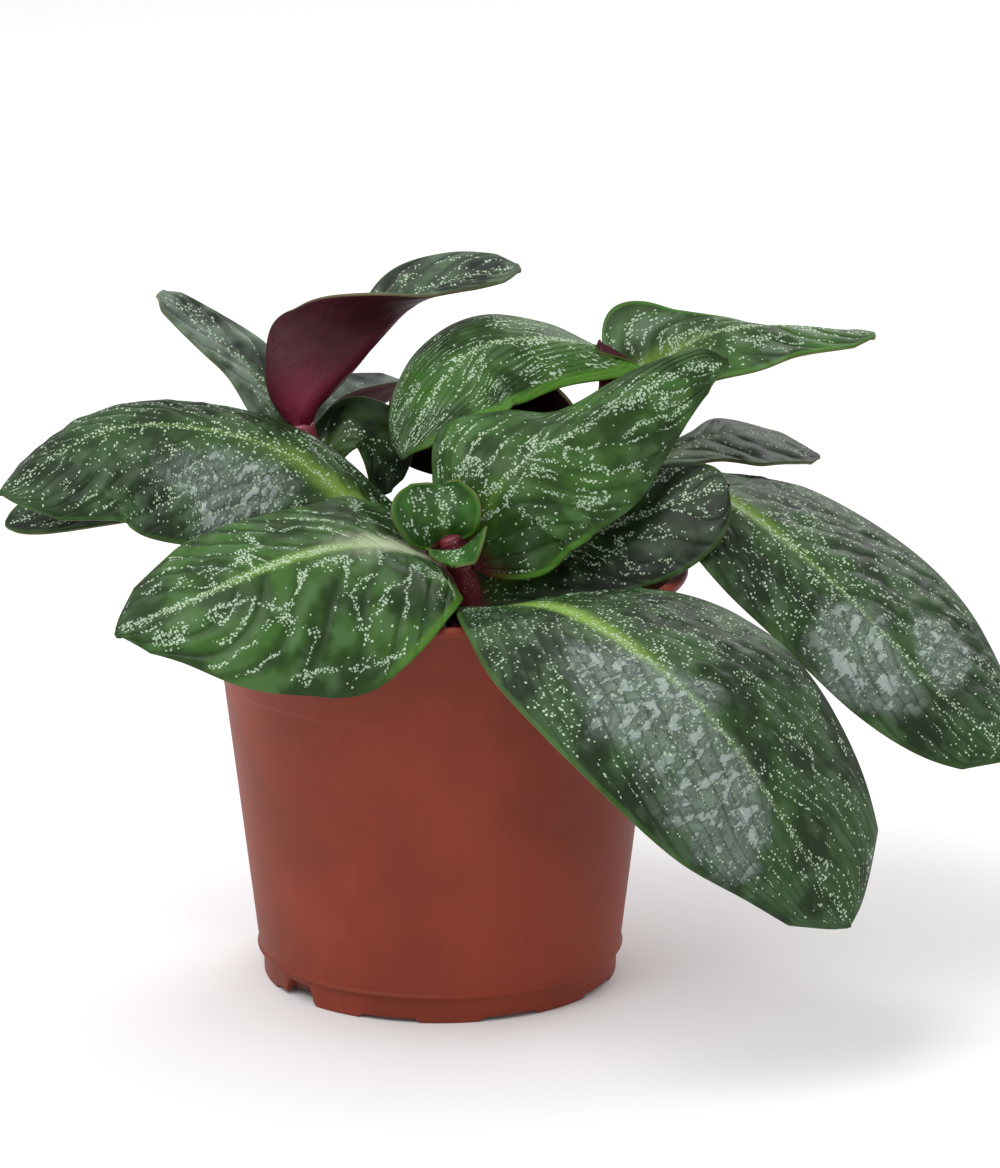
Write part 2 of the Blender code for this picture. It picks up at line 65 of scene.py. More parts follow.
# The pot's shape, in millimetres.
RIM_RADIUS = 52.5
RIM_TOP = 89.4
LIP_HEIGHT = 1.9
WALL = 1.2
NECK_RADIUS = 50.6
BAND_RADIUS = 46.2
BAND_HEIGHT = 66.5
BAND_STEP = 0.4
BEAD_RADIUS = 39.1
BEAD_HEIGHT = 6.2
FOOT_RADIUS = 37.7
FOOT_WALL = 1.4
FLOOR_HEIGHT = 2.6
STANDING_DISC_RADIUS = 13.0
POT_COLUMNS = 400
PAD_COUNT = 9
PAD_WIDTH = 22.0
PAD_HEIGHT = 0.9
PAD_CHAMFER = 1.6
FIRST_PAD = 3.0
NOTCH_ANGLES = (-52.0, 128.0)
NOTCH_WIDTH = 15.0
NOTCH_HEIGHT = 4.1
NOTCH_SLOPE = 2.2

SOIL_TOP = 77.5
SOIL_RADIUS = 47.2

# The distance between a stem's joints.
JOINT_SPACING = 11.0

# The grids that leaves are modelled on, finer for those in front.
FINE_GRID = (141, 91)
PLAIN_GRID = (81, 55)
RIM_STEPS = 5
MARGIN_THICKNESS = 0.9
MIDRIB_THICKNESS = 2.2
LOBE_PLACE = 0.08
TIP_ROUND = 0.06
VEIN_SPACING = 9.0

# How far along a blade the patches of painted silver reflection are measured, and where each blade's marks
# start, in millimetres.
PAINTED_SILVER_RUN = 95.0
PLACE_STEP = 200.0
PLACE_COUNT = 17
PLACE_SIDE = 500.0
WEB_SIDE = 300.0
WEB_SQUEEZE = 0.75
UNDER_DRIFT = 0.4

# Sizes of the noise in the leaves' skin, in millimetres.
CLOUD_SIZE = 14.0
PATCH_SIZE = 6.5
FINE_SIZE = 1.8
GRAIN_SIZE = 0.4


@dataclass
class Stem:
    """A round stem through points, with a radius at each."""
    name: str
    points: list
    radii: list


@dataclass
class Leaf:
    """A blade on a stem; left and right are as seen along the upper face from base to tip."""
    name: str
    stem: str
    spine: list
    faces: list
    half_widths: tuple = (10, 10)
    outline: tuple = ((0.42, 0.5), (0.42, 0.5))
    widths: tuple = ()
    lobes: tuple = (0.0, 0.0)
    folds: tuple = ((0,), (0,))
    curls: tuple = ((0,), (0,))
    petiole: float = 0.0
    foot: float = 2.8
    thickness: float = MIDRIB_THICKNESS


@dataclass
class Look:
    """How a leaf is coloured: shares from 0 to 1, and sizes in millimetres."""
    # Which leaf green the upper face takes; the light, shade and dull greens are lit, shaded and backlit
    # copies of one green: painted light and shade.
    green: str = "shade"
    glow: float = 0.1
    glow_width: float = 2.0
    glow_end: float = 0.6
    scatter: float = 0.02
    chains: float = 0.8
    net: float = 7.0
    sweep: float = 0.3
    spacing: float = VEIN_SPACING
    rim: float = 0.1
    rim_width: float = 0.7
    rim_side: float = 0.0
    rim_end: float = 0.7
    # Patches of painted silver reflection, each a place along, a place across in millimetres and a radius;
    # the mesh puckers there too.
    painted_silver: tuple = ()
    pucker: float = 0.3
    crinkle: float = 0.15
    pale_base: float = 0.0
    # Share of painted sheen: grey reflected light between the veins.
    painted_sheen: float = 0.25
    # Which underside colour; the dark one is its shaded copy, a painted shade.
    under: str = "burgundy"
    # Share of painted grey sheen, in patches.
    painted_grey_sheen: float = 0.0
    fine: bool = False


STEMS = [
    Stem("stem_front", [(4, -16, 66), (6, -17, 84), (4, -19, 95), (2, -20, 101)], [3.3, 3.0, 2.8, 2.5]),
    Stem("stem_middle", [(24, 10, 66), (29, 14, 100), (35, 16, 121)], [3.4, 3.0, 2.8]),
    Stem("stem_left", [(-22, 14, 66), (-26, 16, 98), (-29, 17, 116)], [3.2, 2.8, 2.6]),
    Stem("stem_right", [(30, 5, 66), (36, 8, 90), (41, 12, 109)], [3.4, 3.0, 2.8]),
]

LEAVES = [
    Leaf("leaf_front_left", "stem_front",
         spine=[(1, -20.5, 94), (-4, -25, 98), (-12, -33, 102), (-22, -42, 104), (-34, -50, 102.5),
                (-49, -55, 97), (-65, -55, 90)],
         faces=[(-0.2, -0.5, 0.9), (-0.1, -0.4, 0.9), (-0.15, -0.4, 0.9), (-0.3, -0.5, 0.8),
                (-0.45, -0.5, 0.75)],
         widths=((7, 17, 25.5, 31, 32.5, 29, 22.5, 11, 3),
                 (6, 22, 19.5, 18, 18.5, 18.5, 18, 14.5, 8)), lobes=(2, 3),
         folds=((6, 14, -12, -14, -15), (4, 0)), curls=((-20, -50, -50, -40, -30), (5, -10, -15))),
    Leaf("leaf_middle_right", "stem_front",
         spine=[(4, -18, 96), (9, -19, 105), (13, -20, 112), (20, -18, 118), (29, -15, 122), (39, -10, 127),
                (48, -7, 131), (54.5, -5, 133), (60, -4, 133)],
         faces=[(-0.5, -0.8, 0.3), (-0.2, -0.9, 0.4), (0.0, -0.9, 0.4), (0.2, -0.9, 0.2), (0.5, -0.8, 0.3)],
         widths=((3, 14, 20, 18, 14, 10, 7, 4, 3), (4, 17, 20, 21, 20, 18, 13.5, 8, 3)), lobes=(0, 3),
         folds=((10, -10, -45, -50, 0), (0,)), curls=((-10, -20, 0), (-15, -20, 0))),
    Leaf("leaf_front_right", "stem_front",
         spine=[(6, -17.5, 82), (12, -32, 88.5), (25, -52, 93.5), (41, -69, 88.5), (58, -79, 73.5),
                (82, -79, 35.5)],
         faces=[(0.1, 0.0, 1), (0.1, -0.3, 1), (0.3, -0.6, 0.8), (0.5, -0.7, 0.4)],
         widths=((3, 15, 23, 27, 29.5, 31, 31, 27, 17), (3, 9.5, 19, 27.5, 30, 29, 24.5, 15.5, 7)),
         folds=((9, 2), (10, 0)), curls=((-25,), (0, -20, -30, -25))),
    Leaf("leaf_inner_right", "stem_front",
         spine=[(5, -18, 87), (14, -16, 90), (28, -12, 97), (44, -10, 103), (60, -11, 109)],
         faces=[(-0.1, -0.7, 0.7)],
         half_widths=(12, 15), outline=((0.6, 0.4), (0.8, 0.4)), curls=((-20,), (-20,))),
    Leaf("leaf_left", "stem_front",
         spine=[(4, -17, 86), (-6, -10, 93), (-16, -5, 102), (-31, -1, 113), (-50, 3, 118), (-71, 4, 117),
                (-92, 0, 105)],
         faces=[(0, -0.4, 1), (-0.1, -0.5, 0.9), (-0.5, -0.5, 0.7)],
         widths=((3, 10, 17.5, 22.5, 26, 26.5, 24, 18.5, 8), (3, 9, 11.5, 13, 13.5, 13.5, 13, 11.5, 7)),
         curls=((-45,), (-45,))),
    Leaf("leaf_far_right", "stem_right",
         spine=[(40, 11, 101), (51, 6, 105), (64, -3, 102), (83, -14, 88), (102, -24, 70), (119, -28, 55)],
         faces=[(0.1, -0.1, 1), (0.3, -0.5, 0.8), (0.4, -0.6, 0.6)],
         widths=((3, 20, 25, 28, 30, 30.5, 28, 22, 10), (3, 12, 17, 19.5, 19.5, 19, 17.5, 13.5, 6)),
         curls=((-25,), (-25,))),
    Leaf("leaf_back_right_low", "stem_right",
         spine=[(41, 12, 107), (48, 17, 109), (57, 24, 110.5), (66, 28, 111), (76, 31, 108),
                (82, 33, 104.5)],
         faces=[(0, -0.2, 1), (0.1, -0.3, 1), (0.3, -0.3, 0.9), (0.7, -0.1, 0.6)],
         widths=((3, 2, 3.5, 11, 9.5, 4), (3, 6, 8.5, 12, 9, 4)),
         folds=((0, 0, -20, -20), (0,)), curls=((-20, 0), (0,))),
    Leaf("leaf_back_right", "stem_right",
         spine=[(37, 9, 92), (53, 27, 99), (65, 40, 96), (73, 50, 86)],
         faces=[(0, 0, 1), (0.4, 0.4, 0.8)],
         half_widths=(13, 13), curls=((-25,), (-25,))),
    Leaf("leaf_top_middle", "stem_middle",
         spine=[(34.5, 15.5, 116), (37.5, 17.5, 124.5), (37, 18, 131), (28, 16.5, 133.8), (17, 12.5, 135),
                (7, 8.5, 133), (-1, 3, 125.5), (-8, -4, 113.5)],
         faces=[(0.7, 0.7, 0.0), (0.3, 0.0, 1), (0, -0.4, 1), (-0.2, -0.5, 0.9), (-0.6, -0.5, 0.7),
                (-0.9, -0.5, 0.3)],
         widths=((3, 9, 11.5, 14, 14.5, 15, 12, 8, 3), (3, 14, 14, 14.5, 15.5, 17.5, 17.5, 14, 5)),
         lobes=(13, 11),
         folds=((0, 0, -5, -20, -15, -10, 0), (-75, -75, -20, 0, 0, 0, 0)),
         curls=((-10, -25, -30), (-20, -30, -30)), petiole=0.27),
    Leaf("leaf_top_right", "stem_middle",
         spine=[(35.5, 17, 115), (40, 21, 120), (46, 21, 127), (54, 18, 133.5), (63, 16, 136.5),
                (75, 16, 137), (92, 16, 135)],
         faces=[(-0.5, -0.6, 0.8), (-0.2, -0.6, 1), (0.0, -0.5, 1), (0.1, -0.4, 1), (0.3, -0.4, 0.9)],
         widths=((3, 5, 17, 10, 6, 6, 6.5, 5, 3), (3, 8, 12, 13.5, 14.5, 14, 10.5, 7, 3)),
         folds=((35, 25, 0, -50, -20), (0,)), curls=((0, -20, 0), (-15, 0))),
    Leaf("leaf_back", "stem_middle",
         spine=[(30, 15, 105), (27, 22, 113), (17, 29, 117), (3, 32, 114), (-9, 32, 104)],
         faces=[(0.3, 0.6, 0.7), (0, 0.8, 0.5), (-0.3, 0.8, 0.4)],
         widths=((8, 19, 19, 18, 7), (3, 10, 14, 17, 8)), curls=((-15,), (-15,))),
    Leaf("leaf_top_left", "stem_left",
         spine=[(-29, 17, 115), (-26.8, 17, 120.5), (-19.2, 20, 128), (-8.2, 23, 140),
                (3.2, 26, 144.8), (17, 28, 147)],
         faces=[(-0.6, 0.2, 0.55), (-0.6, 0.2, 0.6), (-0.2, -0.1, 0.9), (0, -0.4, 1)],
         widths=((3, 8, 12, 13, 12, 9, 4), (3, 16, 15.2, 11.8, 5.5, 5.2, 3)),
         folds=((30, 20, 0), (85, 85, 72, 35, 0, -5, 0)), curls=((0,), (20, 0))),
    Leaf("leaf_upper_left", "stem_left",
         spine=[(-29, 17, 107.5), (-34, 19.3, 117.2), (-40, 23, 126), (-47, 26, 132), (-59, 30, 141)],
         faces=[(0.3, -0.5, 0.8)],
         widths=((3, 5.5, 5.5, 5, 3), (1, 5.5, 8, 6, 3))),
    Leaf("leaf_left_low", "stem_left",
         spine=[(-27, 16, 101), (-45, 22, 105), (-62, 20, 102), (-76, 18, 99), (-92, 16, 94)],
         faces=[(-0.1, -0.5, 1)],
         half_widths=(11, 11)),
    Leaf("leaf_inner_left", "stem_left",
         spine=[(-27, 15, 104), (-22.5, 15.5, 111), (-16.5, 15.5, 114), (-12.5, 15, 109), (-11, 14.5, 101)],
         faces=[(0.1, -0.4, 0.9), (0.2, -0.6, 0.7), (0.5, -0.8, 0.3)],
         widths=((2.5, 6, 9, 8, 3), (2.5, 3, 3, 3.5, 3))),
    Leaf("leaf_back_folded", "stem_left",
         spine=[(-28, 18.5, 105.5), (-28, 25.5, 110), (-23, 31, 113.5), (-14, 37, 116), (-6, 43, 117.5)],
         faces=[(-0.2, -0.1, 1)],
         widths=((3, 11, 12, 11, 6), (2, 5, 6, 6, 4)), folds=((20,), (25, 50, 30))),
    Leaf("leaf_back_left", "stem_left",
         spine=[(-26, 16, 95), (-33, 32, 104), (-44, 48, 102), (-54, 62, 92)],
         faces=[(0, 0.1, 1), (-0.3, 0.4, 0.8)],
         half_widths=(15, 15), curls=((-25,), (-25,))),
    Leaf("bud_leaf_left", "stem_front",
         spine=[(1.5, -20.5, 99.5), (1, -22, 103), (0.5, -20.5, 107), (0, -17, 110.5)],
         faces=[(0.1, -0.9, 0.3), (0, -0.9, 0.4), (0, -0.8, 0.7)],
         widths=((2, 7, 10, 10.5, 8.5, 5), (2, 6, 8, 8, 6, 4)), curls=((40,), (50,)),
         foot=2.0, thickness=1.4),
    Leaf("bud_leaf_front", "stem_front",
         spine=[(2.7, -21.5, 96.2), (3.7, -26, 99.2), (3.7, -30, 100.2), (2.7, -32.5, 97.7)],
         faces=[(-0.3, 0.9, 0.3), (-0.2, 0, 1), (-0.3, -1, 0.2)],
         widths=((2, 6, 7, 6.5, 5), (2, 5, 6, 6, 4)), folds=((10,), (0,)), curls=((30,), (20,)),
         foot=2.0, thickness=1.4),
]


# The light, shade and dull greens and the dark underside chosen here are lit, shaded and backlit copies of
# one colour: painted light and shade.
LOOKS = {
    "leaf_front_left": Look(green="light", glow=0.8, glow_width=1.5, glow_end=0.8, chains=1.0, net=9.0,
        rim=0.9, rim_width=1.9, rim_side=-1.0, rim_end=0.55, pucker=0.5, crinkle=0.2, pale_base=1.0,
        fine=True),
    "leaf_middle_right": Look(green="light", glow=0.35, glow_width=1.2, glow_end=0.3, scatter=0.03,
        chains=0.95, net=8.0, sweep=0.42, rim=0.8, rim_width=1.3, rim_side=1.0, rim_end=0.55,
        pucker=0.35, fine=True),
    "leaf_front_right": Look(green="green", glow=1.0, glow_width=1.8, glow_end=0.62, scatter=0.1,
        chains=0.45, net=9.0, sweep=0.55, rim=0.3, rim_width=0.6, rim_side=1.0, rim_end=0.9,
        painted_silver=((0.56, 9.0, 15.0), (0.72, 11.0, 13.0)), pucker=0.15, crinkle=0.25, fine=True),
    "leaf_inner_right": Look(scatter=0.06, chains=0.6, net=8.0, rim=0.2),
    "leaf_left": Look(green="green", glow=1.0, glow_width=2.6, glow_end=0.5, scatter=0.12, chains=0.45,
        sweep=0.35, rim=0.2, painted_silver=((0.5, -13.0, 14.0),), crinkle=0.3, fine=True),
    "leaf_far_right": Look(green="green", glow=1.0, glow_width=1.7, glow_end=0.45, scatter=0.12,
        chains=0.45, net=8.0, sweep=0.4, painted_silver=((0.66, 8.0, 13.0), (0.74, -8.0, 10.0)), crinkle=0.3,
        fine=True),
    "leaf_back_right_low": Look(glow=0.05, scatter=0.03, chains=0.25, under="pink"),
    "leaf_back_right": Look(scatter=0.1, rim=0.5),
    "leaf_top_middle": Look(green="light", glow=0.15, glow_width=0.8, glow_end=0.9, net=6.0, sweep=0.9,
        spacing=7.0, rim=1.0, rim_width=2.0, rim_side=-1.0, rim_end=1.1, pucker=0.2, painted_sheen=0.5,
        fine=True),
    "leaf_top_right": Look(green="light", glow=1.0, glow_width=2.6, glow_end=0.45, scatter=0.06,
        rim=0.5, rim_width=0.8, painted_sheen=0.8, under="pink", fine=True),
    "leaf_back": Look(chains=0.2, under="dark"),
    "leaf_top_left": Look(green="dull", scatter=0.03, chains=0.5, rim=0.15, painted_sheen=0.7),
    "leaf_upper_left": Look(green="dull", glow=0.15, scatter=0.04, chains=0.4, rim=0.15, painted_sheen=0.8,
        painted_grey_sheen=0.35),
    "leaf_left_low": Look(scatter=0.05, chains=0.4, rim=0.2),
    "leaf_inner_left": Look(glow=0.05, chains=0.2, under="dark"),
    "leaf_back_folded": Look(green="dull", glow=0.05, scatter=0.04, chains=0.2, under="pink", painted_grey_sheen=0.4),
    "leaf_back_left": Look(scatter=0.1, rim=0.5),
    "bud_leaf_left": Look(green="young", glow=0.2, glow_width=0.6, scatter=0.04, chains=0.7, net=4.0,
        spacing=4.0, rim=0.4, rim_width=0.5, pucker=0.12, crinkle=0.0),
    "bud_leaf_front": Look(green="young", glow=0.2, glow_width=0.6, scatter=0.08, chains=0.7, net=4.0,
        spacing=4.0, rim=0.4, rim_width=0.5, pucker=0.12, crinkle=0.0),
}


# Settings that a user may change.


def colour_property(name, description, default):
    """A colour setting."""
    return FloatVectorProperty(name=name, description=description, default=default, subtype="COLOR",
                               min=0.0, max=1.0)


class PotSettings(bpy.types.PropertyGroup):
    """The pot's finish."""
    colour: colour_property("Pot colour", "Colour of the pot's plastic", (0.208, 0.033, 0.014))
    roughness: FloatProperty(name="Pot roughness", description="How matt the pot's plastic is", default=0.5,
                             min=0.0, max=1.0, subtype="FACTOR")


class SoilSettings(bpy.types.PropertyGroup):
    """The growing mix in the pot."""
    colour: colour_property("Peat colour", "Colour of the damp peat", (0.016, 0.010, 0.006))
    fibre: colour_property("Fibre colour", "Colour of roots and fibres in the peat", (0.20, 0.12, 0.06))
    perlite: colour_property("Perlite colour", "Colour of the white grains", (0.70, 0.68, 0.63))
    crumbs: IntProperty(name="Crumbs", description="Number of loose crumbs of peat", default=420, min=0)
    grains: IntProperty(name="Grains", description="Number of perlite grains", default=46, min=0)
    fibres: IntProperty(name="Fibres", description="Number of fibres", default=60, min=0)


class StemSettings(bpy.types.PropertyGroup):
    """The stems' colours."""
    colour: colour_property("Stem colour", "Colour of the older stem", (0.16, 0.014, 0.030))
    young: colour_property("Young stem colour", "Colour of the stem near its tip", (0.24, 0.030, 0.055))


class LeafSettings(bpy.types.PropertyGroup):
    """The leaves' colours and the size of their marks."""
    green: colour_property("Leaf green", "Main green of the upper face", (0.017, 0.044, 0.011))
    # The light, shade and dull greens are the leaf green as it looks in full light, in shade and against the
    # light: painted light and shade.
    light: colour_property("Light leaf green", "Green of leaves in full light", (0.028, 0.078, 0.012))
    shade: colour_property("Shaded leaf green", "Green of leaves low in the plant", (0.012, 0.024, 0.009))
    dull: colour_property("Dull leaf green", "Green of leaves seen against the light", (0.030, 0.042, 0.030))
    young: colour_property("Young leaf green", "Green of the bud's leaves", (0.030, 0.105, 0.014))
    lime: colour_property("Midrib lime", "Glow along the midrib", (0.20, 0.34, 0.05))
    cream: colour_property("Cream", "Pale base of the blade", (0.46, 0.52, 0.33))
    speckle: colour_property("Speckle colour", "The small pale marks", (0.40, 0.52, 0.37))
    # Painted reflection: the silvery grey of light on the puckered skin.
    painted_silver: colour_property("Silver", "Skin that has lifted between the veins", (0.27, 0.33, 0.30))
    # Painted sheen: the grey of light reflected from the upper face.
    painted_sheen: colour_property("Wax", "Thin grey wax on the upper face", (0.090, 0.140, 0.085))
    rim: colour_property("Margin green", "Thick rim of the blade", (0.070, 0.190, 0.018))
    tan: colour_property("Margin line", "Thin dry line round the blade", (0.170, 0.120, 0.060))
    burgundy: colour_property("Underside", "Colour of the lower face", (0.038, 0.005, 0.009))
    # The dark underside is the underside colour as it looks in shade: painted shade.
    dark: colour_property("Dark underside", "Lower face of leaves in shade", (0.020, 0.005, 0.008))
    magenta: colour_property("Leaf stalk", "Lower face near the stem", (0.130, 0.007, 0.027))
    pink: colour_property("Pale underside", "Lower face of the palest leaves", (0.230, 0.095, 0.100))
    speckle_size: FloatProperty(name="Speckle size", description="Spacing of the larger speckles",
                                default=0.00082, min=0.0002, subtype="DISTANCE", unit="LENGTH")


class StageSettings(bpy.types.PropertyGroup):
    """The floor and the lights."""
    floor: colour_property("Floor colour", "Colour of the studio floor", (0.90, 0.90, 0.90))
    sky: FloatProperty(name="Surround light", description="Brightness of the white surround", default=0.85,
                       min=0.0)
    key: FloatProperty(name="Key light", description="Power of the large light above", default=9.0, min=0.0,
                       unit="POWER")
    fill: FloatProperty(name="Back light", description="Power of the light from behind", default=5.0, min=0.0,
                        unit="POWER")


# Nodes.


def socket_of(sockets, name):
    """A socket by its index, identifier or name."""
    if isinstance(name, int):
        return sockets[name]
    for socket in sockets:
        if socket.identifier == name:
            return socket
    return sockets[name]


class Value:
    """A node's output. Python's arithmetic on it adds Math nodes."""

    def __init__(self, paint, node, output=0):
        self.paint = paint
        self.node = node
        self.socket = socket_of(node.outputs, output)

    def output(self, name):
        """Another output of the same node."""
        return Value(self.paint, self.node, name)

    def math(self, operation, *others, first=None):
        """A Math node on this value and others."""
        values = [self, *others] if first is None else [first, self]
        return self.paint.node("Math", {"operation": operation}, dict(enumerate(values)))

    def __add__(self, other):
        return self.math("ADD", other)

    def __sub__(self, other):
        return self.math("SUBTRACT", other)

    def __rsub__(self, other):
        return self.math("SUBTRACT", first=other)

    def __mul__(self, other):
        return self.math("MULTIPLY", other)

    def __truediv__(self, other):
        return self.math("DIVIDE", other)

    def __rtruediv__(self, other):
        return self.math("DIVIDE", first=other)

    def __pow__(self, other):
        return self.math("POWER", other)

    __radd__ = __add__
    __rmul__ = __mul__


class Paint:
    """One material and its nodes."""

    def __init__(self, name, constants=None):
        self.material = bpy.data.materials.new(name)
        self.material.use_nodes = True
        self.tree = self.material.node_tree
        self.shader = self.tree.nodes["Principled BSDF"]
        for socket, value in (constants or {}).items():
            self.shader.inputs[socket].default_value = value

    def node(self, kind, settings=None, sockets=None, output=0):
        """A node of a type, with its settings made first, then its sockets' values or links."""
        made = self.tree.nodes.new("ShaderNode" + kind)
        for name, setting in (settings or {}).items():
            setattr(made, name, setting)
        for name, value in (sockets or {}).items():
            self.feed(socket_of(made.inputs, name), value)
        return Value(self, made, output)

    def feed(self, socket, value):
        """Links a value to a socket, or sets it."""
        if isinstance(value, Value):
            self.tree.links.new(value.socket, socket)
        elif socket.type == "RGBA" and len(value) == 3:
            socket.default_value = (*value, 1.0)
        else:
            socket.default_value = value

    def attribute(self, name, output="Fac"):
        """A value stored on the mesh."""
        return self.node("Attribute", {"attribute_name": name}, output=output)

    def mix(self, factor, first, second):
        """A colour between two colours."""
        sockets = {"Factor_Float": factor, "A_Color": first, "B_Color": second}
        return self.node("Mix", {"data_type": "RGBA"}, sockets, "Result_Color")

    def step(self, value, low, high):
        """A smooth step from 0 at low to 1 at high."""
        sockets = {"Value": value, "From Min": low, "From Max": high}
        return self.node("MapRange", {"interpolation_type": "SMOOTHSTEP"}, sockets)

    def fall(self, value, low, high):
        """A smooth step from 1 at low to 0 at high."""
        return 1.0 - self.step(value, low, high)

    def noise(self, place, size, detail=2.0, roughness=0.5):
        """Soft noise of a size in the units of its place."""
        sockets = {"Vector": place, "Scale": 1.0 / size, "Detail": detail, "Roughness": roughness}
        return self.node("TexNoise", None, sockets)

    def cells(self, place, size, feature="F1", flat=True):
        """Distance in random cells of a size; the node's Color is random for each cell."""
        settings = {"feature": feature, "voronoi_dimensions": "2D" if flat else "3D"}
        return self.node("TexVoronoi", settings, {"Vector": place, "Scale": 1.0 / size}, "Distance")

    def stretched(self, place, scale):
        """A place with each axis multiplied."""
        return self.node("VectorMath", {"operation": "MULTIPLY"}, {0: place, 1: scale}, "Vector")

    def here(self):
        """The place on the object in millimetres."""
        coordinates = self.node("TexCoord", output="Object")
        return self.stretched(coordinates, (1 / MM, 1 / MM, 1 / MM))

    def finish(self, colour, roughness, height=None):
        """Feeds the shader with a colour, a roughness and a height in millimetres."""
        self.feed(self.shader.inputs["Base Color"], colour)
        self.feed(self.shader.inputs["Roughness"], roughness)
        if height is not None:
            bump = self.node("Bump", None, {"Height": height, "Distance": MM, "Strength": 1.0})
            self.feed(self.shader.inputs["Normal"], bump)
        return self.material


# Materials.


def tinted(colour, factor):
    """A colour made lighter or darker."""
    return tuple(min(1.0, factor * part) for part in colour)


def green_skin(paint, look, colours, marks):
    """The upper face's green, with veins, painted shade along the vein valleys, painted grey reflections
    between them and the midrib's glow.
    """
    along, midrib, fine, patches = marks.along, marks.midrib, marks.fine, marks.patches
    # For some leaves the base green is a lit, shaded or backlit copy: painted light and shade.
    base = getattr(colours, look.green)
    light = paint.step(marks.cloud + 0.5 * (patches - 0.5), 0.38, 0.64)
    colour = paint.mix(light, tinted(base, 0.5), tinted(base, 1.5))
    # Painted shade: the green darkens towards the vein lines, where the puckered skin dips, more on puckered
    # leaves.
    ribs = paint.step(marks.line + 2.5 * (fine - 0.5), 0.3, 2.6)
    colour = paint.mix(1.1 * look.pucker * (1.0 - ribs), colour, tinted(base, 0.35))
    # Painted sheen: grey reflected light between the veins, in patches.
    colour = paint.mix(look.painted_sheen * ribs * paint.step(patches, 0.46, 0.62), colour, colours.painted_sheen)
    leafy = paint.fall(midrib, 2.0, 12.0) * paint.step(patches, 0.35, 0.5)
    colour = paint.mix(0.55 * leafy * (1.0 - along), colour, tinted(colours.rim, 0.45))

    width = look.glow_width * (1.2 - along)
    fade = paint.fall(along, look.glow_end - 0.35, look.glow_end + 0.08)
    glow = paint.fall(midrib / width + 0.8 * (fine - 0.5), 0.2, 2.1) * fade
    ray = paint.fall(midrib, 0.1, 0.8) * paint.fall(along, look.glow_end, 0.97)
    colour = paint.mix(look.glow * glow, colour, colours.lime)
    colour = paint.mix(0.35 * look.glow * ray, colour, colours.lime)
    if look.pale_base:
        reach = midrib + 6.0 * (fine - 0.5)
        pale = paint.fall(along, 0.16, 0.44) * paint.fall(reach, 1.2, 7.0)
        colour = paint.mix(look.pale_base * pale, colour, colours.cream)
    return colour


def painted_silver_skin(paint, look, colours, marks, colour):
    """Painted silvery reflection in crinkled patches, with painted shade in the creases and along the vein
    valleys.
    """
    total = None
    for where, across, radius in look.painted_silver:
        aside = marks.across - across
        away = (((marks.along - where) * PAINTED_SILVER_RUN) ** 2.0 + aside * aside).math("SQRT")
        patch = paint.fall(away + 16.0 * (marks.cloud - 0.5), 0.55 * radius, radius)
        total = patch if total is None else total.math("MAXIMUM", patch)
    crinkle = paint.noise(paint.stretched(marks.place, (1.0, 0.55, 1.0)), 2.6, 4.0, 0.6)
    crease = paint.fall((crinkle - 0.5).math("ABSOLUTE"), 0.0, 0.07)
    # Painted reflection on the lifted, crinkled skin, with painted shade in the creases.
    lifted = total * (0.42 + 0.58 * paint.step(crinkle, 0.40, 0.62)) * (1.0 - 0.55 * crease)
    # Painted shade: the silvery reflection fades along the vein valleys.
    valley = paint.fall(marks.line + 2.0 * (marks.patches - 0.5), 0.2, 1.4)
    lifted = lifted * (1.0 - 0.40 * valley)
    colour = paint.mix(lifted, colour, colours.painted_silver)
    return colour, lifted, total * (crinkle - 0.6 * crease)


def speckles(paint, look, colours, marks):
    """Small pale dots that crowd into chains along a net of veins."""
    size = colours.speckle_size / MM
    drift = paint.noise(marks.place, 9.0, 2.0).output("Color")
    shift = paint.node("VectorMath", {"operation": "SUBTRACT"}, {0: drift, 1: (0.5, 0.5, 0.5)}, "Vector")
    sockets = {0: shift, 1: (11.0, 11.0, 0.0), 2: marks.web}
    bent = paint.node("VectorMath", {"operation": "MULTIPLY_ADD"}, sockets, "Vector")
    strand = paint.cells(bent, look.net, "DISTANCE_TO_EDGE") * look.net
    gaps = paint.step(paint.noise(marks.place, 8.0, 2.0), 0.38, 0.58)
    chain = paint.fall(strand + 1.4 * (marks.fine - 0.5), 0.15, 1.05) * gaps
    spine = paint.fall(marks.midrib + marks.fine, 0.6, 2.0) * paint.step(marks.along, 0.1, 0.4)
    density = (look.chains * chain).math("MAXIMUM", look.chains * 0.9 * spine)
    strewn = look.scatter * (1.0 - 0.8 * paint.step(marks.along, 0.35, 0.7))
    density = density.math("MAXIMUM", strewn * (0.4 + 1.2 * paint.step(marks.cloud, 0.4, 0.65)))
    density = density * paint.step(marks.edge, 0.6, 2.6)
    total = None
    for cell, spot in ((size, 0.42), (0.72 * size, 0.40)):
        cells = paint.cells(marks.place, cell)
        chance = paint.node("SeparateColor", None, {"Color": cells.output("Color")}, "Red")
        dot = paint.fall(cells + 0.3 * (marks.grain - 0.5), 0.55 * spot, spot)
        dot = dot * density.math("GREATER_THAN", chance)
        total = dot if total is None else total.math("MAXIMUM", dot)
    return total, 0.14 * density


def underside(paint, look, colours, marks):
    """The lower face, brightest at the stalk."""
    # For leaves in shade this is the underside's shaded copy: painted shade.
    deep = getattr(colours, look.under)
    streak = paint.noise(paint.stretched(marks.place, (0.12, 1.0, 1.0)), 2.2, 3.0)
    light = paint.step(marks.cloud + 0.4 * streak, 0.5, 0.9)
    colour = paint.mix(light, tinted(deep, 0.75), tinted(deep, 1.3))
    stalk = paint.fall(marks.along, 0.04, 0.30) * paint.fall(marks.midrib, 2.0, 12.0)
    colour = paint.mix(0.9 * stalk, colour, colours.magenta)
    keel = paint.fall(marks.midrib, 0.4, 1.5) * (1.0 - marks.along)
    return paint.mix(0.5 * keel, colour, colours.magenta)


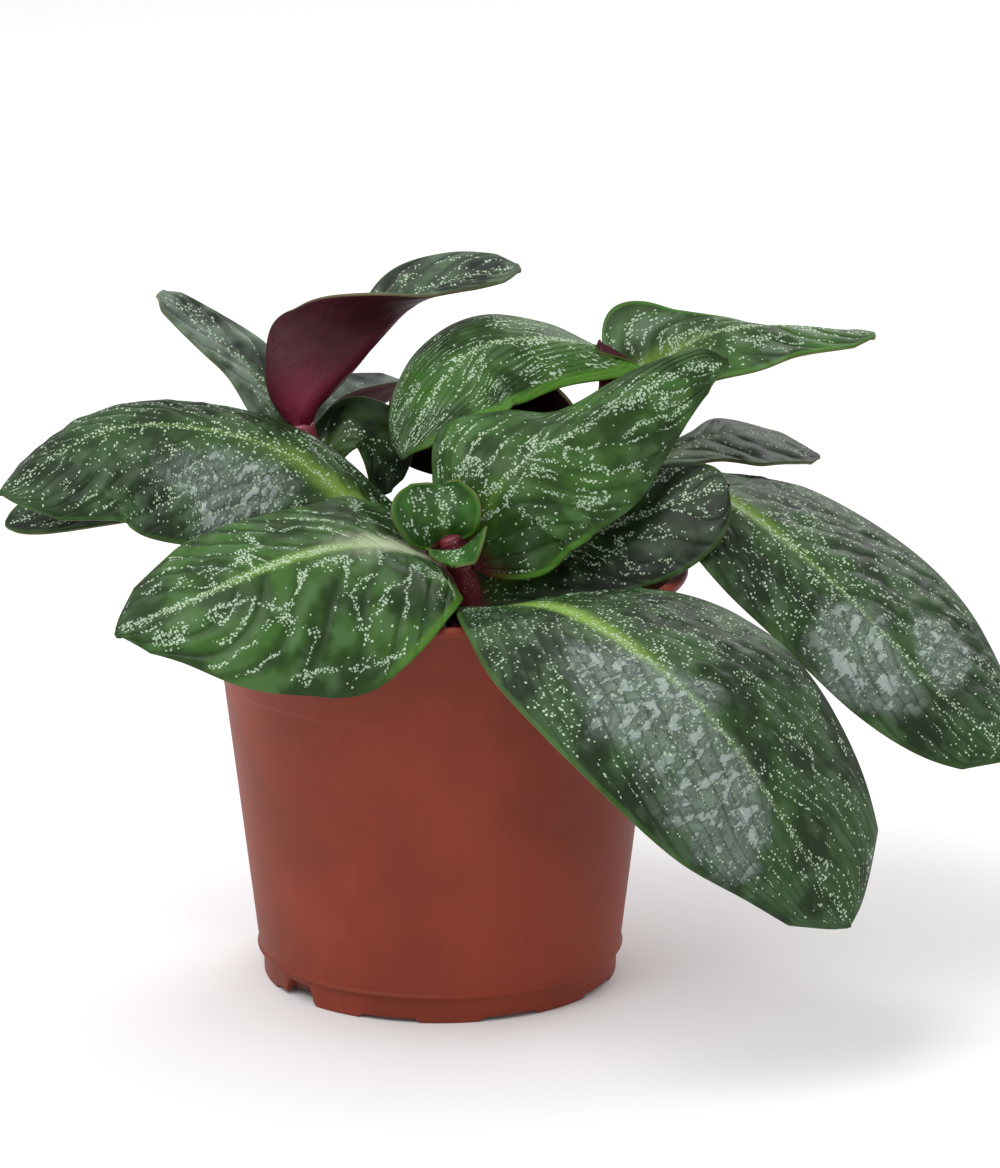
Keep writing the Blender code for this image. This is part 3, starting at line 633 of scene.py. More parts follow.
def leaf_paint(name, look, colours):
    """The skin of a leaf: speckled green above, red beneath, with a green margin."""
    paint = Paint(name, {"Coat Weight": 0.04, "Coat Roughness": 0.25, "Specular IOR Level": 0.17})
    place = paint.attribute("place", "Vector")
    stored = ("along", "vein", "midrib", "edge", "across", "under")
    marks = SimpleNamespace(**{key: paint.attribute(key) for key in stored})
    marks.place = place
    marks.web = paint.attribute("web", "Vector")
    marks.cloud = paint.noise(place, CLOUD_SIZE, 2.0)
    marks.patches = paint.noise(place, PATCH_SIZE, 2.0)
    marks.fine = paint.noise(place, FINE_SIZE, 3.0, 0.6)
    marks.grain = paint.noise(place, GRAIN_SIZE, 2.0, 0.6)
    marks.line = marks.vein.math("PINGPONG", look.spacing / 2)
    along, edge, under = marks.along, marks.edge, marks.under

    colour = green_skin(paint, look, colours, marks)
    lifted, relief = None, 0.0
    # Patches of painted silver reflection on some leaves.
    if look.painted_silver:
        colour, lifted, relief = painted_silver_skin(paint, look, colours, marks, colour)
    dots, halo = speckles(paint, look, colours, marks)
    # A faint painted sheen where the speckles crowd.
    colour = paint.mix(halo, colour, colours.painted_sheen)
    colour = paint.mix(dots * (0.5 + 0.8 * marks.cloud), colour, colours.speckle)
    # Painted sheen: grey patches of reflected light, in the silvery colour, on leaves seen against the light.
    if look.painted_grey_sheen:
        colour = paint.mix(look.painted_grey_sheen * paint.step(marks.patches, 0.3, 0.7), colour, colours.painted_silver)

    rim = paint.fall(edge + 0.6 * (marks.fine - 0.5), 0.5 * look.rim_width, 1.25 * look.rim_width)
    if look.rim_side:
        aside = look.rim_side * marks.across
        rim = rim * paint.step(aside, 0.0, 4.0) * paint.fall(along, look.rim_end - 0.3, look.rim_end)
    colour = paint.mix(look.rim * rim, colour, colours.rim)
    hem = paint.fall(edge, 0.05, 0.3) * paint.step(under, 0.25, 0.45)
    colour = paint.mix(0.55 * hem, colour, colours.tan)

    stem_end = paint.fall(along, 0.02, 0.10)
    colour = paint.mix(0.8 * stem_end, colour, colours.magenta)
    colour = paint.mix(paint.step(under, 0.6, 0.9), colour, underside(paint, look, colours, marks))

    valley = paint.fall(marks.line, 0.0, 1.6)
    height = 0.10 * marks.fine + 0.03 * marks.grain + 0.05 * dots
    height = height - 0.22 * look.pucker * valley + 0.45 * relief
    roughness = 0.34 + 0.16 * marks.fine + 0.12 * dots + 0.10 * paint.step(under, 0.5, 0.9)
    if lifted is not None:
        roughness = roughness - 0.10 * lifted
    return paint.finish(colour, roughness, height)


def pot_paint(settings):
    """Satin plastic with a faint grain and scuffs."""
    paint = Paint("pot_plastic", {"Specular IOR Level": 0.22})
    here = paint.here()
    cloud = paint.noise(here, 30.0, 3.0)
    scuff = paint.noise(paint.stretched(here, (1.0, 1.0, 0.15)), 1.6, 3.0, 0.65)
    grain = paint.noise(here, 0.35, 2.0, 0.6)
    dark = tinted(settings.colour, 0.86)
    pale = tinted(settings.colour, 1.12)
    colour = paint.mix(paint.step(cloud + 0.2 * scuff, 0.45, 0.75), dark, pale)
    height = 0.012 * grain + 0.02 * scuff
    roughness = settings.roughness + 0.12 * (scuff - 0.5) + 0.06 * cloud
    return paint.finish(colour, roughness, height)


def stem_paint(settings, colours):
    """Fleshy red stem, darker in places, brighter near its tip, with pale dots."""
    paint = Paint("stem_skin", {"Coat Weight": 0.1, "Coat Roughness": 0.3})
    here = paint.here()
    height_here = paint.node("SeparateXYZ", None, {"Vector": here}, "Z")
    cloud = paint.noise(here, 6.0, 3.0)
    ridges = paint.noise(paint.stretched(here, (1.0, 1.0, 0.12)), 0.9, 2.0)
    young = paint.step(height_here, 82.0, 108.0)
    colour = paint.mix(young, settings.colour, settings.young)
    colour = paint.mix(0.5 * paint.step(cloud, 0.45, 0.75), colour, tinted(settings.colour, 0.45))
    cells = paint.cells(here, 1.1, flat=False)
    dots = paint.fall(cells, 0.12, 0.26)
    colour = paint.mix(0.35 * dots, colour, colours.speckle)
    return paint.finish(colour, 0.36 + 0.2 * cloud, 0.12 * ridges + 0.05 * dots)


def peat_paint(name, settings, pale=1.0):
    """Damp peat with lighter fibres."""
    paint = Paint(name, {"Specular IOR Level": 0.25})
    here = paint.here()
    clumps = paint.noise(here, 2.4, 5.0, 0.65)
    fine = paint.noise(here, 0.5, 3.0, 0.7)
    strands = paint.noise(paint.stretched(here, (0.2, 1.0, 1.0)), 0.8, 3.0, 0.6)
    dark = tinted(settings.colour, 0.45 * pale)
    light = tinted(settings.colour, 2.2 * pale)
    colour = paint.mix(paint.step(clumps, 0.35, 0.7), dark, light)
    colour = paint.mix(0.5 * paint.step(strands, 0.62, 0.72), colour, tinted(settings.fibre, 0.4))
    return paint.finish(colour, 0.8 + 0.15 * fine, 0.8 * clumps + 0.3 * fine)


def plain_paint(name, colour, roughness, size, depth):
    """A finish that varies softly at one size, for grains and fibres."""
    paint = Paint(name)
    here = paint.here()
    cloud = paint.noise(here, size, 4.0, 0.65)
    shade = paint.mix(paint.step(cloud, 0.3, 0.7), tinted(colour, 0.7), colour)
    return paint.finish(shade, roughness + 0.1 * (cloud - 0.5), depth * cloud)


# Shapes.


def through(points, places):
    """Points read along a smooth curve through evenly numbered points, at places from 0 to 1."""
    given = np.array(points, dtype=float)
    given = given[:, None] if given.ndim == 1 else given
    if len(given) == 1:
        return np.repeat(given, len(places), axis=0)
    ends = np.vstack([2 * given[0] - given[1], given, 2 * given[-1] - given[-2]])
    where = np.clip(places, 0, 1) * (len(given) - 1)
    first = np.minimum(where.astype(int), len(given) - 2)
    u = (where - first)[:, None]
    a, b, c, d = (ends[first + k] for k in range(4))
    return 0.5 * (2 * b + (c - a) * u + (2 * a - 5 * b + 4 * c - d) * u**2
                  + (3 * b - a - 3 * c + d) * u**3)


def unit(vectors):
    """Vectors of length one."""
    return vectors / np.maximum(np.linalg.norm(vectors, axis=-1, keepdims=True), 1e-9)


def smooth(value, low, high):
    """A smooth step from 0 at low to 1 at high."""
    share = np.clip((value - low) / (high - low), 0, 1)
    return share * share * (3 - 2 * share)


def ripple(u, v, size, seed):
    """Smooth irregular waves of about a size, between about -1 and 1."""
    draw = np.random.default_rng(seed)
    total = np.zeros(np.shape(u))
    for angle in np.linspace(0, math.pi, 7)[:-1] + 0.3:
        length = size * draw.uniform(0.7, 1.5)
        phase = draw.uniform(0, 2 * math.pi)
        total += np.sin(2 * math.pi * (u * math.cos(angle) + v * math.sin(angle)) / length + phase)
    return total / 3


def leaf_frames(leaf, places):
    """Midrib points with their forward, upward and rightward directions, and the midrib's length."""
    fine = np.linspace(0, 1, 300)
    curve = through(leaf.spine, fine)
    run = np.concatenate([[0], np.cumsum(np.linalg.norm(np.diff(curve, axis=0), axis=1))])
    at = np.interp(places * run[-1], run, fine)
    slopes = unit(np.gradient(curve, axis=0))
    forward = unit(np.stack([np.interp(at, fine, slopes[:, k]) for k in range(3)], axis=-1))
    face = through(leaf.faces, places)
    upward = unit(face - (face * forward).sum(axis=-1, keepdims=True) * forward)
    return through(leaf.spine, at), forward, upward, np.cross(forward, upward), run[-1]


def blade_width(leaf, side, places):
    """Width of one half for places along the midrib, from its list or from its outline."""
    if leaf.widths:
        return through(leaf.widths[side], places)[:, 0] * np.sqrt(np.clip((1 - places) / TIP_ROUND, 0, 1))
    towards_base, towards_tip = leaf.outline[side]
    widest = towards_base / (towards_base + towards_tip)
    rise = (places / widest)**towards_base
    return leaf.half_widths[side] * rise * ((1 - places) / (1 - widest))**towards_tip


def leaf_surface(leaf, rows, columns):
    """The upper face as a grid of points, with the thickness and the marks' coordinates at each."""
    even = np.linspace(0, 1, rows)
    along = 0.225 * (1 - np.cos(math.pi * even)) + 0.55 * even
    spine, forward, upward, rightward, length = leaf_frames(leaf, along)
    blade = np.clip((along - leaf.petiole) / (1 - leaf.petiole), 0, 1)
    grid = {name: np.zeros((rows, columns)) for name in ("thickness", "across", "share", "half")}
    points = np.zeros((rows, columns, 3))
    for column, across in enumerate(np.linspace(-1, 1, columns)):
        side = 0 if across < 0 else 1
        out = 1 - (1 - abs(across))**1.15
        fold = np.radians(through(leaf.folds[side], along)[:, 0])
        curl = np.radians(through(leaf.curls[side], along)[:, 0]) * out
        width = blade_width(leaf, side, blade)
        half = np.maximum(np.hypot(width, leaf.foot * (1 - along)), 1.4 * MARGIN_THICKNESS)
        reach = (half * out * np.sinc(curl / 2 / math.pi))[:, None]
        turn = (fold + curl / 2)[:, None]
        back = leaf.lobes[side] * blade / LOBE_PLACE * np.exp(1 - blade / LOBE_PLACE) * out**1.3
        outward = rightward * (-1 if side == 0 else 1)
        points[:, column] = (spine + reach * (np.cos(turn) * outward + np.sin(turn) * upward)
                             - back[:, None] * forward)
        flesh = (1 - out**1.6) * np.clip(half / 8, 0.25, 1) * (1 + 0.4 * (1 - along)**6)
        grid["thickness"][:, column] = MARGIN_THICKNESS + (leaf.thickness - MARGIN_THICKNESS) * flesh
        grid["across"][:, column] = half * out * (-1 if side == 0 else 1)
        grid["share"][:, column] = out
        grid["half"][:, column] = half
    grid["along"] = np.repeat(along[:, None], columns, axis=1)
    return points, grid, length


def grid_normals(points):
    """Normals of a grid of points, up out of the upper face."""
    down_rows = np.gradient(points, axis=0)
    over_columns = np.gradient(points, axis=1)
    return unit(np.cross(over_columns, down_rows))


def add_piece(name, vertices, faces, material, slot, replaced=None):
    """A smooth mesh piece in millimetres that rides on the plant."""
    mesh = bpy.data.meshes.new(name)
    mesh.from_pydata((np.asarray(vertices) * MM).tolist(), [], np.asarray(faces).tolist()
                     if isinstance(faces, np.ndarray) else faces)
    mesh.materials.append(material)
    mesh.shade_smooth()
    mesh.validate()
    piece = bpy.data.objects.new(name, mesh)
    bpy.context.scene.collection.objects.link(piece)
    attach(piece, "root")
    if replaced:
        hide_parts(replaced)
    return piece


def grid_faces(rows, columns, first=0, flip=False):
    """Quads of a grid of vertices that is numbered row by row."""
    row, column = np.meshgrid(np.arange(rows - 1), np.arange(columns - 1), indexing="ij")
    corner = (first + row * columns + column).ravel()
    quads = np.stack([corner, corner + 1, corner + columns + 1, corner + columns], axis=1)
    return quads[:, ::-1] if flip else quads


def ring_faces(first, last, sides):
    """Quads between rings of vertices that are numbered ring by ring."""
    faces = []
    for row in range(first, last):
        for k in range(sides):
            after = (k + 1) % sides
            faces.append((row * sides + k, (row + 1) * sides + k,
                          (row + 1) * sides + after, row * sides + after))
    return faces


def rim_loop(rows, columns):
    """Indices of a grid's boundary, in order round it, as row and column arrays."""
    left = [(row, 0) for row in range(rows)]
    tip = [(rows - 1, column) for column in range(1, columns)]
    right = [(row, columns - 1) for row in range(rows - 2, -1, -1)]
    base = [(0, column) for column in range(columns - 2, 0, -1)]
    return np.array(left + tip + right + base).T


def leaf_mesh(leaf, look, rows, columns, seed):
    """Vertices, faces and stored values of a leaf with a rounded margin and lifted skin."""
    points, grid, length = leaf_surface(leaf, rows, columns)
    along, across, share, half = (grid[name] for name in ("along", "across", "share", "half"))
    run = along * length
    side = np.where(across < 0, -1.0, 1.0)
    warp = 2.2 * ripple(run, across, 24.0, seed)
    vein = (along - look.sweep * share**1.3) * length + warp + 40.0 + 0.5 * look.spacing * (side > 0)
    phase = np.abs(np.sin(math.pi * vein / look.spacing))
    inside = smooth(share, 0.04, 0.3) * (1 - smooth(share, 0.8, 1.0)) * smooth(along, 0.06, 0.25)
    inside *= 1 - smooth(along, 0.85, 1.0)
    relief = look.pucker * (phase**0.8 - 0.6) + look.crinkle * ripple(run, across, 6.0, seed + 1)
    for where, aside, radius in look.painted_silver:
        patch = np.exp(-(((along - where) * PAINTED_SILVER_RUN)**2 + (across - aside)**2) / radius**2)
        relief += patch * (0.30 * ripple(run, across, 5.5, seed + 2)
                           + 0.16 * ripple(run, across, 2.8, seed + 3))
    relief *= inside
    groove = np.exp(-(across / 1.2)**2) * smooth(along, 0.02, 0.12) * (1 - along)**0.6
    normals = grid_normals(points)
    thickness = grid["thickness"]
    top = points + normals * (relief - 0.4 * groove)[..., None]
    ridge = 0.35 * np.exp(-(across / 1.6)**2) * (1 - along)
    bottom = points - normals * (thickness + ridge - 0.5 * relief)[..., None]

    row, column = rim_loop(rows, columns)
    inner_row = np.clip(row, 1, rows - 2)
    inner_column = np.clip(column, 1, columns - 2)
    upper, lower = top[row, column], bottom[row, column]
    outward = unit((upper + lower) - (top + bottom)[inner_row, inner_column])
    vertices = [top.reshape(-1, 3), bottom.reshape(-1, 3)]
    under = [np.zeros(rows * columns), np.ones(rows * columns)]
    middle, arm = (upper + lower) / 2, (upper - lower) / 2
    reach = np.linalg.norm(arm, axis=1, keepdims=True)
    for step in range(1, RIM_STEPS + 1):
        angle = math.pi / 2 - math.pi * step / (RIM_STEPS + 1)
        vertices.append(middle + arm * math.sin(angle) + outward * reach * math.cos(angle))
        under.append(np.full(len(row), step / (RIM_STEPS + 1)))
    count = rows * columns
    rims = [row * columns + column]
    rims += [2 * count + step * len(row) + np.arange(len(row)) for step in range(RIM_STEPS)]
    rims += [count + row * columns + column]
    faces = [grid_faces(rows, columns), grid_faces(rows, columns, count, flip=True)]
    for high, low in zip(rims, rims[1:]):
        faces.append(np.stack([high, np.roll(high, -1), np.roll(low, -1), low], axis=1))
    margin = np.minimum(half - np.abs(across), (1 - along) * length + 0.6)
    flat = {"along": along, "vein": vein, "midrib": np.abs(across), "edge": margin, "across": across}
    values = {}
    for name, value in flat.items():
        on_rim = np.zeros(len(row)) if name == "edge" else value[row, column]
        values[name] = np.concatenate([value.ravel(), value.ravel(), *[on_rim] * RIM_STEPS])
    values["under"] = np.concatenate(under)
    place = np.stack([values["along"] * length + PLACE_STEP * (seed % PLACE_COUNT),
                      values["across"] + PLACE_SIDE + UNDER_DRIFT * values["under"],
                      np.zeros(len(values["under"]))], axis=1)
    return np.concatenate(vertices), np.concatenate(faces), values, place


def make_leaf(leaf, look, colours, seed):
    """A leaf that stands for its solid."""
    rows, columns = FINE_GRID if look.fine else PLAIN_GRID
    vertices, faces, values, place = leaf_mesh(leaf, look, rows, columns, seed)
    material = leaf_paint("skin_of_" + leaf.name, look, colours)
    piece = add_piece(leaf.name + "_blade", vertices, faces, material, leaf.name, leaf.name)
    mesh = piece.data
    for name, value in values.items():
        mesh.attributes.new(name, "FLOAT", "POINT").data.foreach_set("value", value.astype(np.float32))
    web = np.stack([values["vein"], WEB_SQUEEZE * values["across"] + WEB_SIDE, np.zeros(len(place))], axis=1)
    for name, value in (("place", place), ("web", web)):
        stored = mesh.attributes.new(name, "FLOAT_VECTOR", "POINT")
        stored.data.foreach_set("vector", value.astype(np.float32).ravel())
    return piece


def tube(points, radii, sides):
    """Vertices and faces of a closed tube through points, with rounded ends."""
    points = np.asarray(points, dtype=float)
    forward = unit(np.gradient(points, axis=0))
    side = unit(np.cross(forward, (0.31, 0.87, 0.17)))
    other = np.cross(side, forward)
    turns = np.linspace(0, 2 * math.pi, sides, endpoint=False)
    rings = [point + radius * (np.cos(turns)[:, None] * s + np.sin(turns)[:, None] * o)
             for point, radius, s, o in zip(points, radii, side, other)]
    vertices = np.concatenate([*rings, points[:1], points[-1:]])
    faces = []
    count = len(points)
    for ring in range(count - 1):
        for k in range(sides):
            a, b = ring * sides + k, ring * sides + (k + 1) % sides
            faces.append((a, b, b + sides, a + sides))
    for k in range(sides):
        faces.append((count * sides, (k + 1) % sides, k))
        faces.append((count * sides + 1, (count - 1) * sides + k, (count - 1) * sides + (k + 1) % sides))
    return vertices, faces


def joined(parts):
    """Several lists of vertices and faces as one."""
    vertices, faces, first = [], [], 0
    for part_vertices, part_faces in parts:
        vertices.append(np.asarray(part_vertices))
        faces += [tuple(int(k) + first for k in face) for face in part_faces]
        first += len(part_vertices)
    return np.concatenate(vertices), faces


def stem_piece(stem, material):
    """A stem that swells at its joints, with a rounded end."""
    length = np.linalg.norm(np.diff(np.array(stem.points, dtype=float), axis=0), axis=1).sum()
    places = np.concatenate([np.linspace(0, 0.97, 70), [0.985, 0.994, 1.0]])
    points = through(stem.points, places)
    radii = through(stem.radii, places)[:, 0]
    joints = np.abs(((places * length / JOINT_SPACING) % 1.0) - 0.5) * 2
    end = np.interp(places, [0, 0.97, 0.985, 0.994, 1], [1, 1, 0.85, 0.6, 0.2])
    radii = radii * (1.0 + 0.10 * joints**6) * end
    return add_piece(stem.name + "_skin", *tube(points, radii, 28), material, stem.name, stem.name)


def rounded(profile, radius, steps=4):
    """A profile of points with its corners rounded."""
    given = [np.array(point, dtype=float) for point in profile]
    made = [given[0]]
    for before, corner, after in zip(given, given[1:], given[2:]):
        back, on = before - corner, after - corner
        cut = min(radius, 0.45 * np.linalg.norm(back), 0.45 * np.linalg.norm(on))
        start, end = corner + cut * unit(back), corner + cut * unit(on)
        for t in np.linspace(0, 1, steps + 1):
            made.append((1 - t)**2 * start + 2 * t * (1 - t) * corner + t**2 * end)
    made.append(given[-1])
    return np.array(made)


def band_profile(inset):
    """The pot's wall from the lip down to the foot, moved inwards by a distance."""
    return [
        (NECK_RADIUS - inset, RIM_TOP - LIP_HEIGHT - 0.2),
        (BAND_RADIUS - inset, BAND_HEIGHT),
        (BAND_RADIUS - BAND_STEP - inset, BAND_HEIGHT - 0.4),
        (BEAD_RADIUS - 0.4 - inset, BEAD_HEIGHT + 0.5),
    ]


def floor_profile(lift):
    """The pot's floor from its edge to near the axis, raised by a distance."""
    return [
        (STANDING_DISC_RADIUS + 1.2 - 0.5 * lift, FLOOR_HEIGHT + lift),
        (STANDING_DISC_RADIUS - 0.5 * lift, lift),
        (0.02, lift),
    ]


def foot_lift(angles):
    """How far the foot ring is cut away at angles from the front, in degrees."""
    spacing = 360 / PAD_COUNT
    from_pad = np.abs((angles - FIRST_PAD + spacing / 2) % spacing - spacing / 2)
    lift = PAD_HEIGHT * smooth(from_pad, PAD_WIDTH / 2 - PAD_CHAMFER, PAD_WIDTH / 2 + 0.4)
    for notch in NOTCH_ANGLES:
        away = np.abs((angles - notch + 180) % 360 - 180)
        cut = 1 - smooth(away, NOTCH_WIDTH / 2 - NOTCH_SLOPE, NOTCH_WIDTH / 2 + 0.3)
        lift = np.maximum(lift, NOTCH_HEIGHT * cut)
    return lift


def pot_profile():
    """The pot's cross section, from the middle of its inside up over the lip and down to the floor."""
    foot_inside = FOOT_RADIUS - FOOT_WALL
    lip = [
        (NECK_RADIUS - WALL + 0.2, RIM_TOP - 0.5),
        (NECK_RADIUS - WALL + 0.8, RIM_TOP),
        (RIM_RADIUS - 0.6, RIM_TOP),
        (RIM_RADIUS, RIM_TOP - 0.6),
        (RIM_RADIUS, RIM_TOP - LIP_HEIGHT + 0.4),
        (RIM_RADIUS - 0.4, RIM_TOP - LIP_HEIGHT),
    ]
    foot = [
        (BEAD_RADIUS, BEAD_HEIGHT + 0.1),
        (BEAD_RADIUS, BEAD_HEIGHT - 0.3),
        (FOOT_RADIUS + 0.1, BEAD_HEIGHT - 0.7),
        (FOOT_RADIUS, 0.3),
        (FOOT_RADIUS - 0.3, 0),
        (foot_inside, 0),
        (foot_inside - 0.2, FLOOR_HEIGHT),
    ]
    inside = [
        (foot_inside - 0.2, FLOOR_HEIGHT + WALL),
        (BEAD_RADIUS - 0.4 - WALL, BEAD_HEIGHT + 0.5),
    ]
    inner_wall = [*floor_profile(WALL)[::-1], *inside, *band_profile(WALL)[-2::-1]]
    return rounded([*inner_wall, *lip, *band_profile(0), *foot, *floor_profile(0)], 0.45)


def pot_shape():
    """Vertices and faces of the pot."""
    profile = pot_profile()
    angles = np.arange(POT_COLUMNS) * 360.0 / POT_COLUMNS
    turn = np.radians(angles)
    radius = np.repeat(profile[:, :1], POT_COLUMNS, axis=1)
    height = np.repeat(profile[:, 1:], POT_COLUMNS, axis=1)
    lift = foot_lift(angles)[None, :]
    on_foot = (radius > FOOT_RADIUS - FOOT_WALL - 0.15) & (height < BEAD_HEIGHT - 1.0)
    below = np.arange(len(profile))[:, None] > len(profile) // 3
    height = np.where(on_foot & below, np.maximum(height, lift + 0.12 * height), height)
    points = np.stack([radius * np.sin(turn), -radius * np.cos(turn), height], axis=-1)
    rows = len(profile)
    faces = ring_faces(0, rows - 1, POT_COLUMNS)
    faces.append(tuple(range(POT_COLUMNS)))
    faces.append(tuple(range(rows * POT_COLUMNS - 1, (rows - 1) * POT_COLUMNS - 1, -1)))
    return points.reshape(-1, 3), faces


def lump(draw, centre, size, detail, rough):
    """An irregular grain as vertices and faces."""
    ball = bmesh.new()
    bmesh.ops.create_icosphere(ball, subdivisions=detail, radius=1.0)
    vertices = np.array([vertex.co for vertex in ball.verts])
    faces = [tuple(vertex.index for vertex in face.verts) for face in ball.faces]
    ball.free()
    shift = draw.uniform(0, 9, 3)
    wobble = sum(np.sin(k * vertices @ draw.normal(0, 1, 3) + shift[k % 3]) for k in (2, 3, 4))
    stretch = draw.uniform(0.6, 1.2, 3)
    spin, _ = np.linalg.qr(draw.normal(0, 1, (3, 3)))
    return (vertices * (1 + rough * wobble[:, None]) * stretch * size) @ spin + centre, faces


def soil_height(x, y):
    """Height of the peat's surface, in millimetres."""
    rough = 1.1 * (np.sin(0.19 * x + 1.3) * np.cos(0.23 * y) + 0.6 * np.sin(0.41 * x - 0.37 * y)
                   + 0.4 * np.cos(0.53 * y + 0.29 * x)) - 0.5
    inward = np.clip((SOIL_RADIUS - np.hypot(x, y)) / 8, 0, 1)
    fine = 0.45 * ripple(x, y, 4.5, 5) + 0.3 * ripple(x, y, 2.0, 6)
    return SOIL_TOP + rough * inward + fine


def peat_shape():
    """The peat: a rough round top over a tapering side."""
    rings, sides = 60, 220
    share = np.linspace(0, 1, rings)
    turn = np.linspace(0, 2 * math.pi, sides, endpoint=False)
    radius = SOIL_RADIUS * share[:, None] + 0 * turn
    x, y = radius * np.sin(turn), -radius * np.cos(turn)
    top = np.stack([x, y, soil_height(x, y)], axis=-1)
    side = []
    for inset, height in ((0.4, SOIL_TOP - 4), (2.2, 66.0), (9.6, 8.0), (20.0, 4.6)):
        reach = SOIL_RADIUS - inset
        side.append(np.stack([reach * np.sin(turn), -reach * np.cos(turn), np.full(sides, height)], axis=-1))
    points = np.concatenate([top.reshape(-1, 3), *side])
    rows = rings + len(side)
    faces = ring_faces(1, rows - 1, sides)
    for k in range(sides):
        faces.append((0, sides + k, sides + (k + 1) % sides))
    faces.append(tuple(range(rows * sides - 1, (rows - 1) * sides - 1, -1)))
    keep = np.concatenate([[0], np.arange(sides, rows * sides)])
    renumber = np.zeros(rows * sides, int)
    renumber[keep] = np.arange(len(keep))
    return points[keep], [tuple(renumber[list(face)]) for face in faces]


# Operators.


class MakePot(bpy.types.Operator):
    """The round nursery pot"""
    bl_idname = "crassula.make_pot"
    bl_label = "Pot"

    def execute(self, context):
        material = pot_paint(context.scene.crassula_pot)
        add_piece("nursery_pot", *pot_shape(), material, "pot", "pot")
        return {"FINISHED"}


class MakeSoil(bpy.types.Operator):
    """Peat with crumbs, perlite grains and fibres"""
    bl_idname = "crassula.make_soil"
    bl_label = "Growing mix"

    def execute(self, context):
        settings = context.scene.crassula_soil
        draw = np.random.default_rng(11)
        add_piece("peat", *peat_shape(), peat_paint("damp_peat", settings), "soil", "soil")

        def resting(low, high):
            """A place on the peat."""
            reach = (SOIL_RADIUS - 3.0) * math.sqrt(draw.uniform())
            turn = draw.uniform(0, 2 * math.pi)
            x, y = reach * math.sin(turn), -reach * math.cos(turn)
            size = draw.uniform(low, high)
            return np.array([x, y, float(soil_height(x, y)) + 0.2 * size]), size

        crumbs = []
        for _ in range(settings.crumbs):
            place, size = resting(0.4, 1.8)
            crumbs.append(lump(draw, place, size, 2, 0.10))
        add_piece("peat_crumbs", *joined(crumbs), peat_paint("loose_peat", settings, 1.3), "soil")
        grains = []
        for _ in range(settings.grains):
            place, size = resting(0.7, 1.6)
            grains.append(lump(draw, place, size, 3, 0.07))
        material = plain_paint("perlite_white", settings.perlite, 0.8, 0.5, 0.4)
        add_piece("perlite_grains", *joined(grains), material, "soil")
        fibres = []
        for _ in range(settings.fibres):
            place, _ = resting(0.5, 1.0)
            length, turn = draw.uniform(5, 15), draw.uniform(0, 2 * math.pi)
            steps = np.linspace(-0.5, 0.5, 14)
            bend = draw.uniform(-0.5, 0.5) * length
            x = place[0] + length * steps * math.cos(turn) + bend * steps**2 * -math.sin(turn)
            y = place[1] + length * steps * math.sin(turn) + bend * steps**2 * math.cos(turn)
            scale = np.minimum(1, (SOIL_RADIUS - 1.5) / np.hypot(x, y))
            x, y = x * scale, y * scale
            z = soil_height(x, y) + 0.25 + 1.2 * draw.uniform() * (0.25 - steps**2) * 4
            radii = draw.uniform(0.12, 0.28) * np.linspace(1, 0.4, 14)
            fibres.append(tube(np.stack([x, y, z], axis=1), radii, 6))
        add_piece("peat_fibres", *joined(fibres), plain_paint("fibre", settings.fibre, 0.7, 1.5, 0.1), "soil")
        return {"FINISHED"}


class MakeStems(bpy.types.Operator):
    """The red stems"""
    bl_idname = "crassula.make_stems"
    bl_label = "Stems"

    def execute(self, context):
        material = stem_paint(context.scene.crassula_stem, context.scene.crassula_leaf)
        for stem in STEMS:
            stem_piece(stem, material)
        return {"FINISHED"}


class MakeLeaves(bpy.types.Operator):
    """The broad speckled leaves"""
    bl_idname = "crassula.make_leaves"
    bl_label = "Leaves"

    def execute(self, context):
        for number, leaf in enumerate(LEAVES):
            make_leaf(leaf, LOOKS[leaf.name], context.scene.crassula_leaf, number)
        return {"FINISHED"}


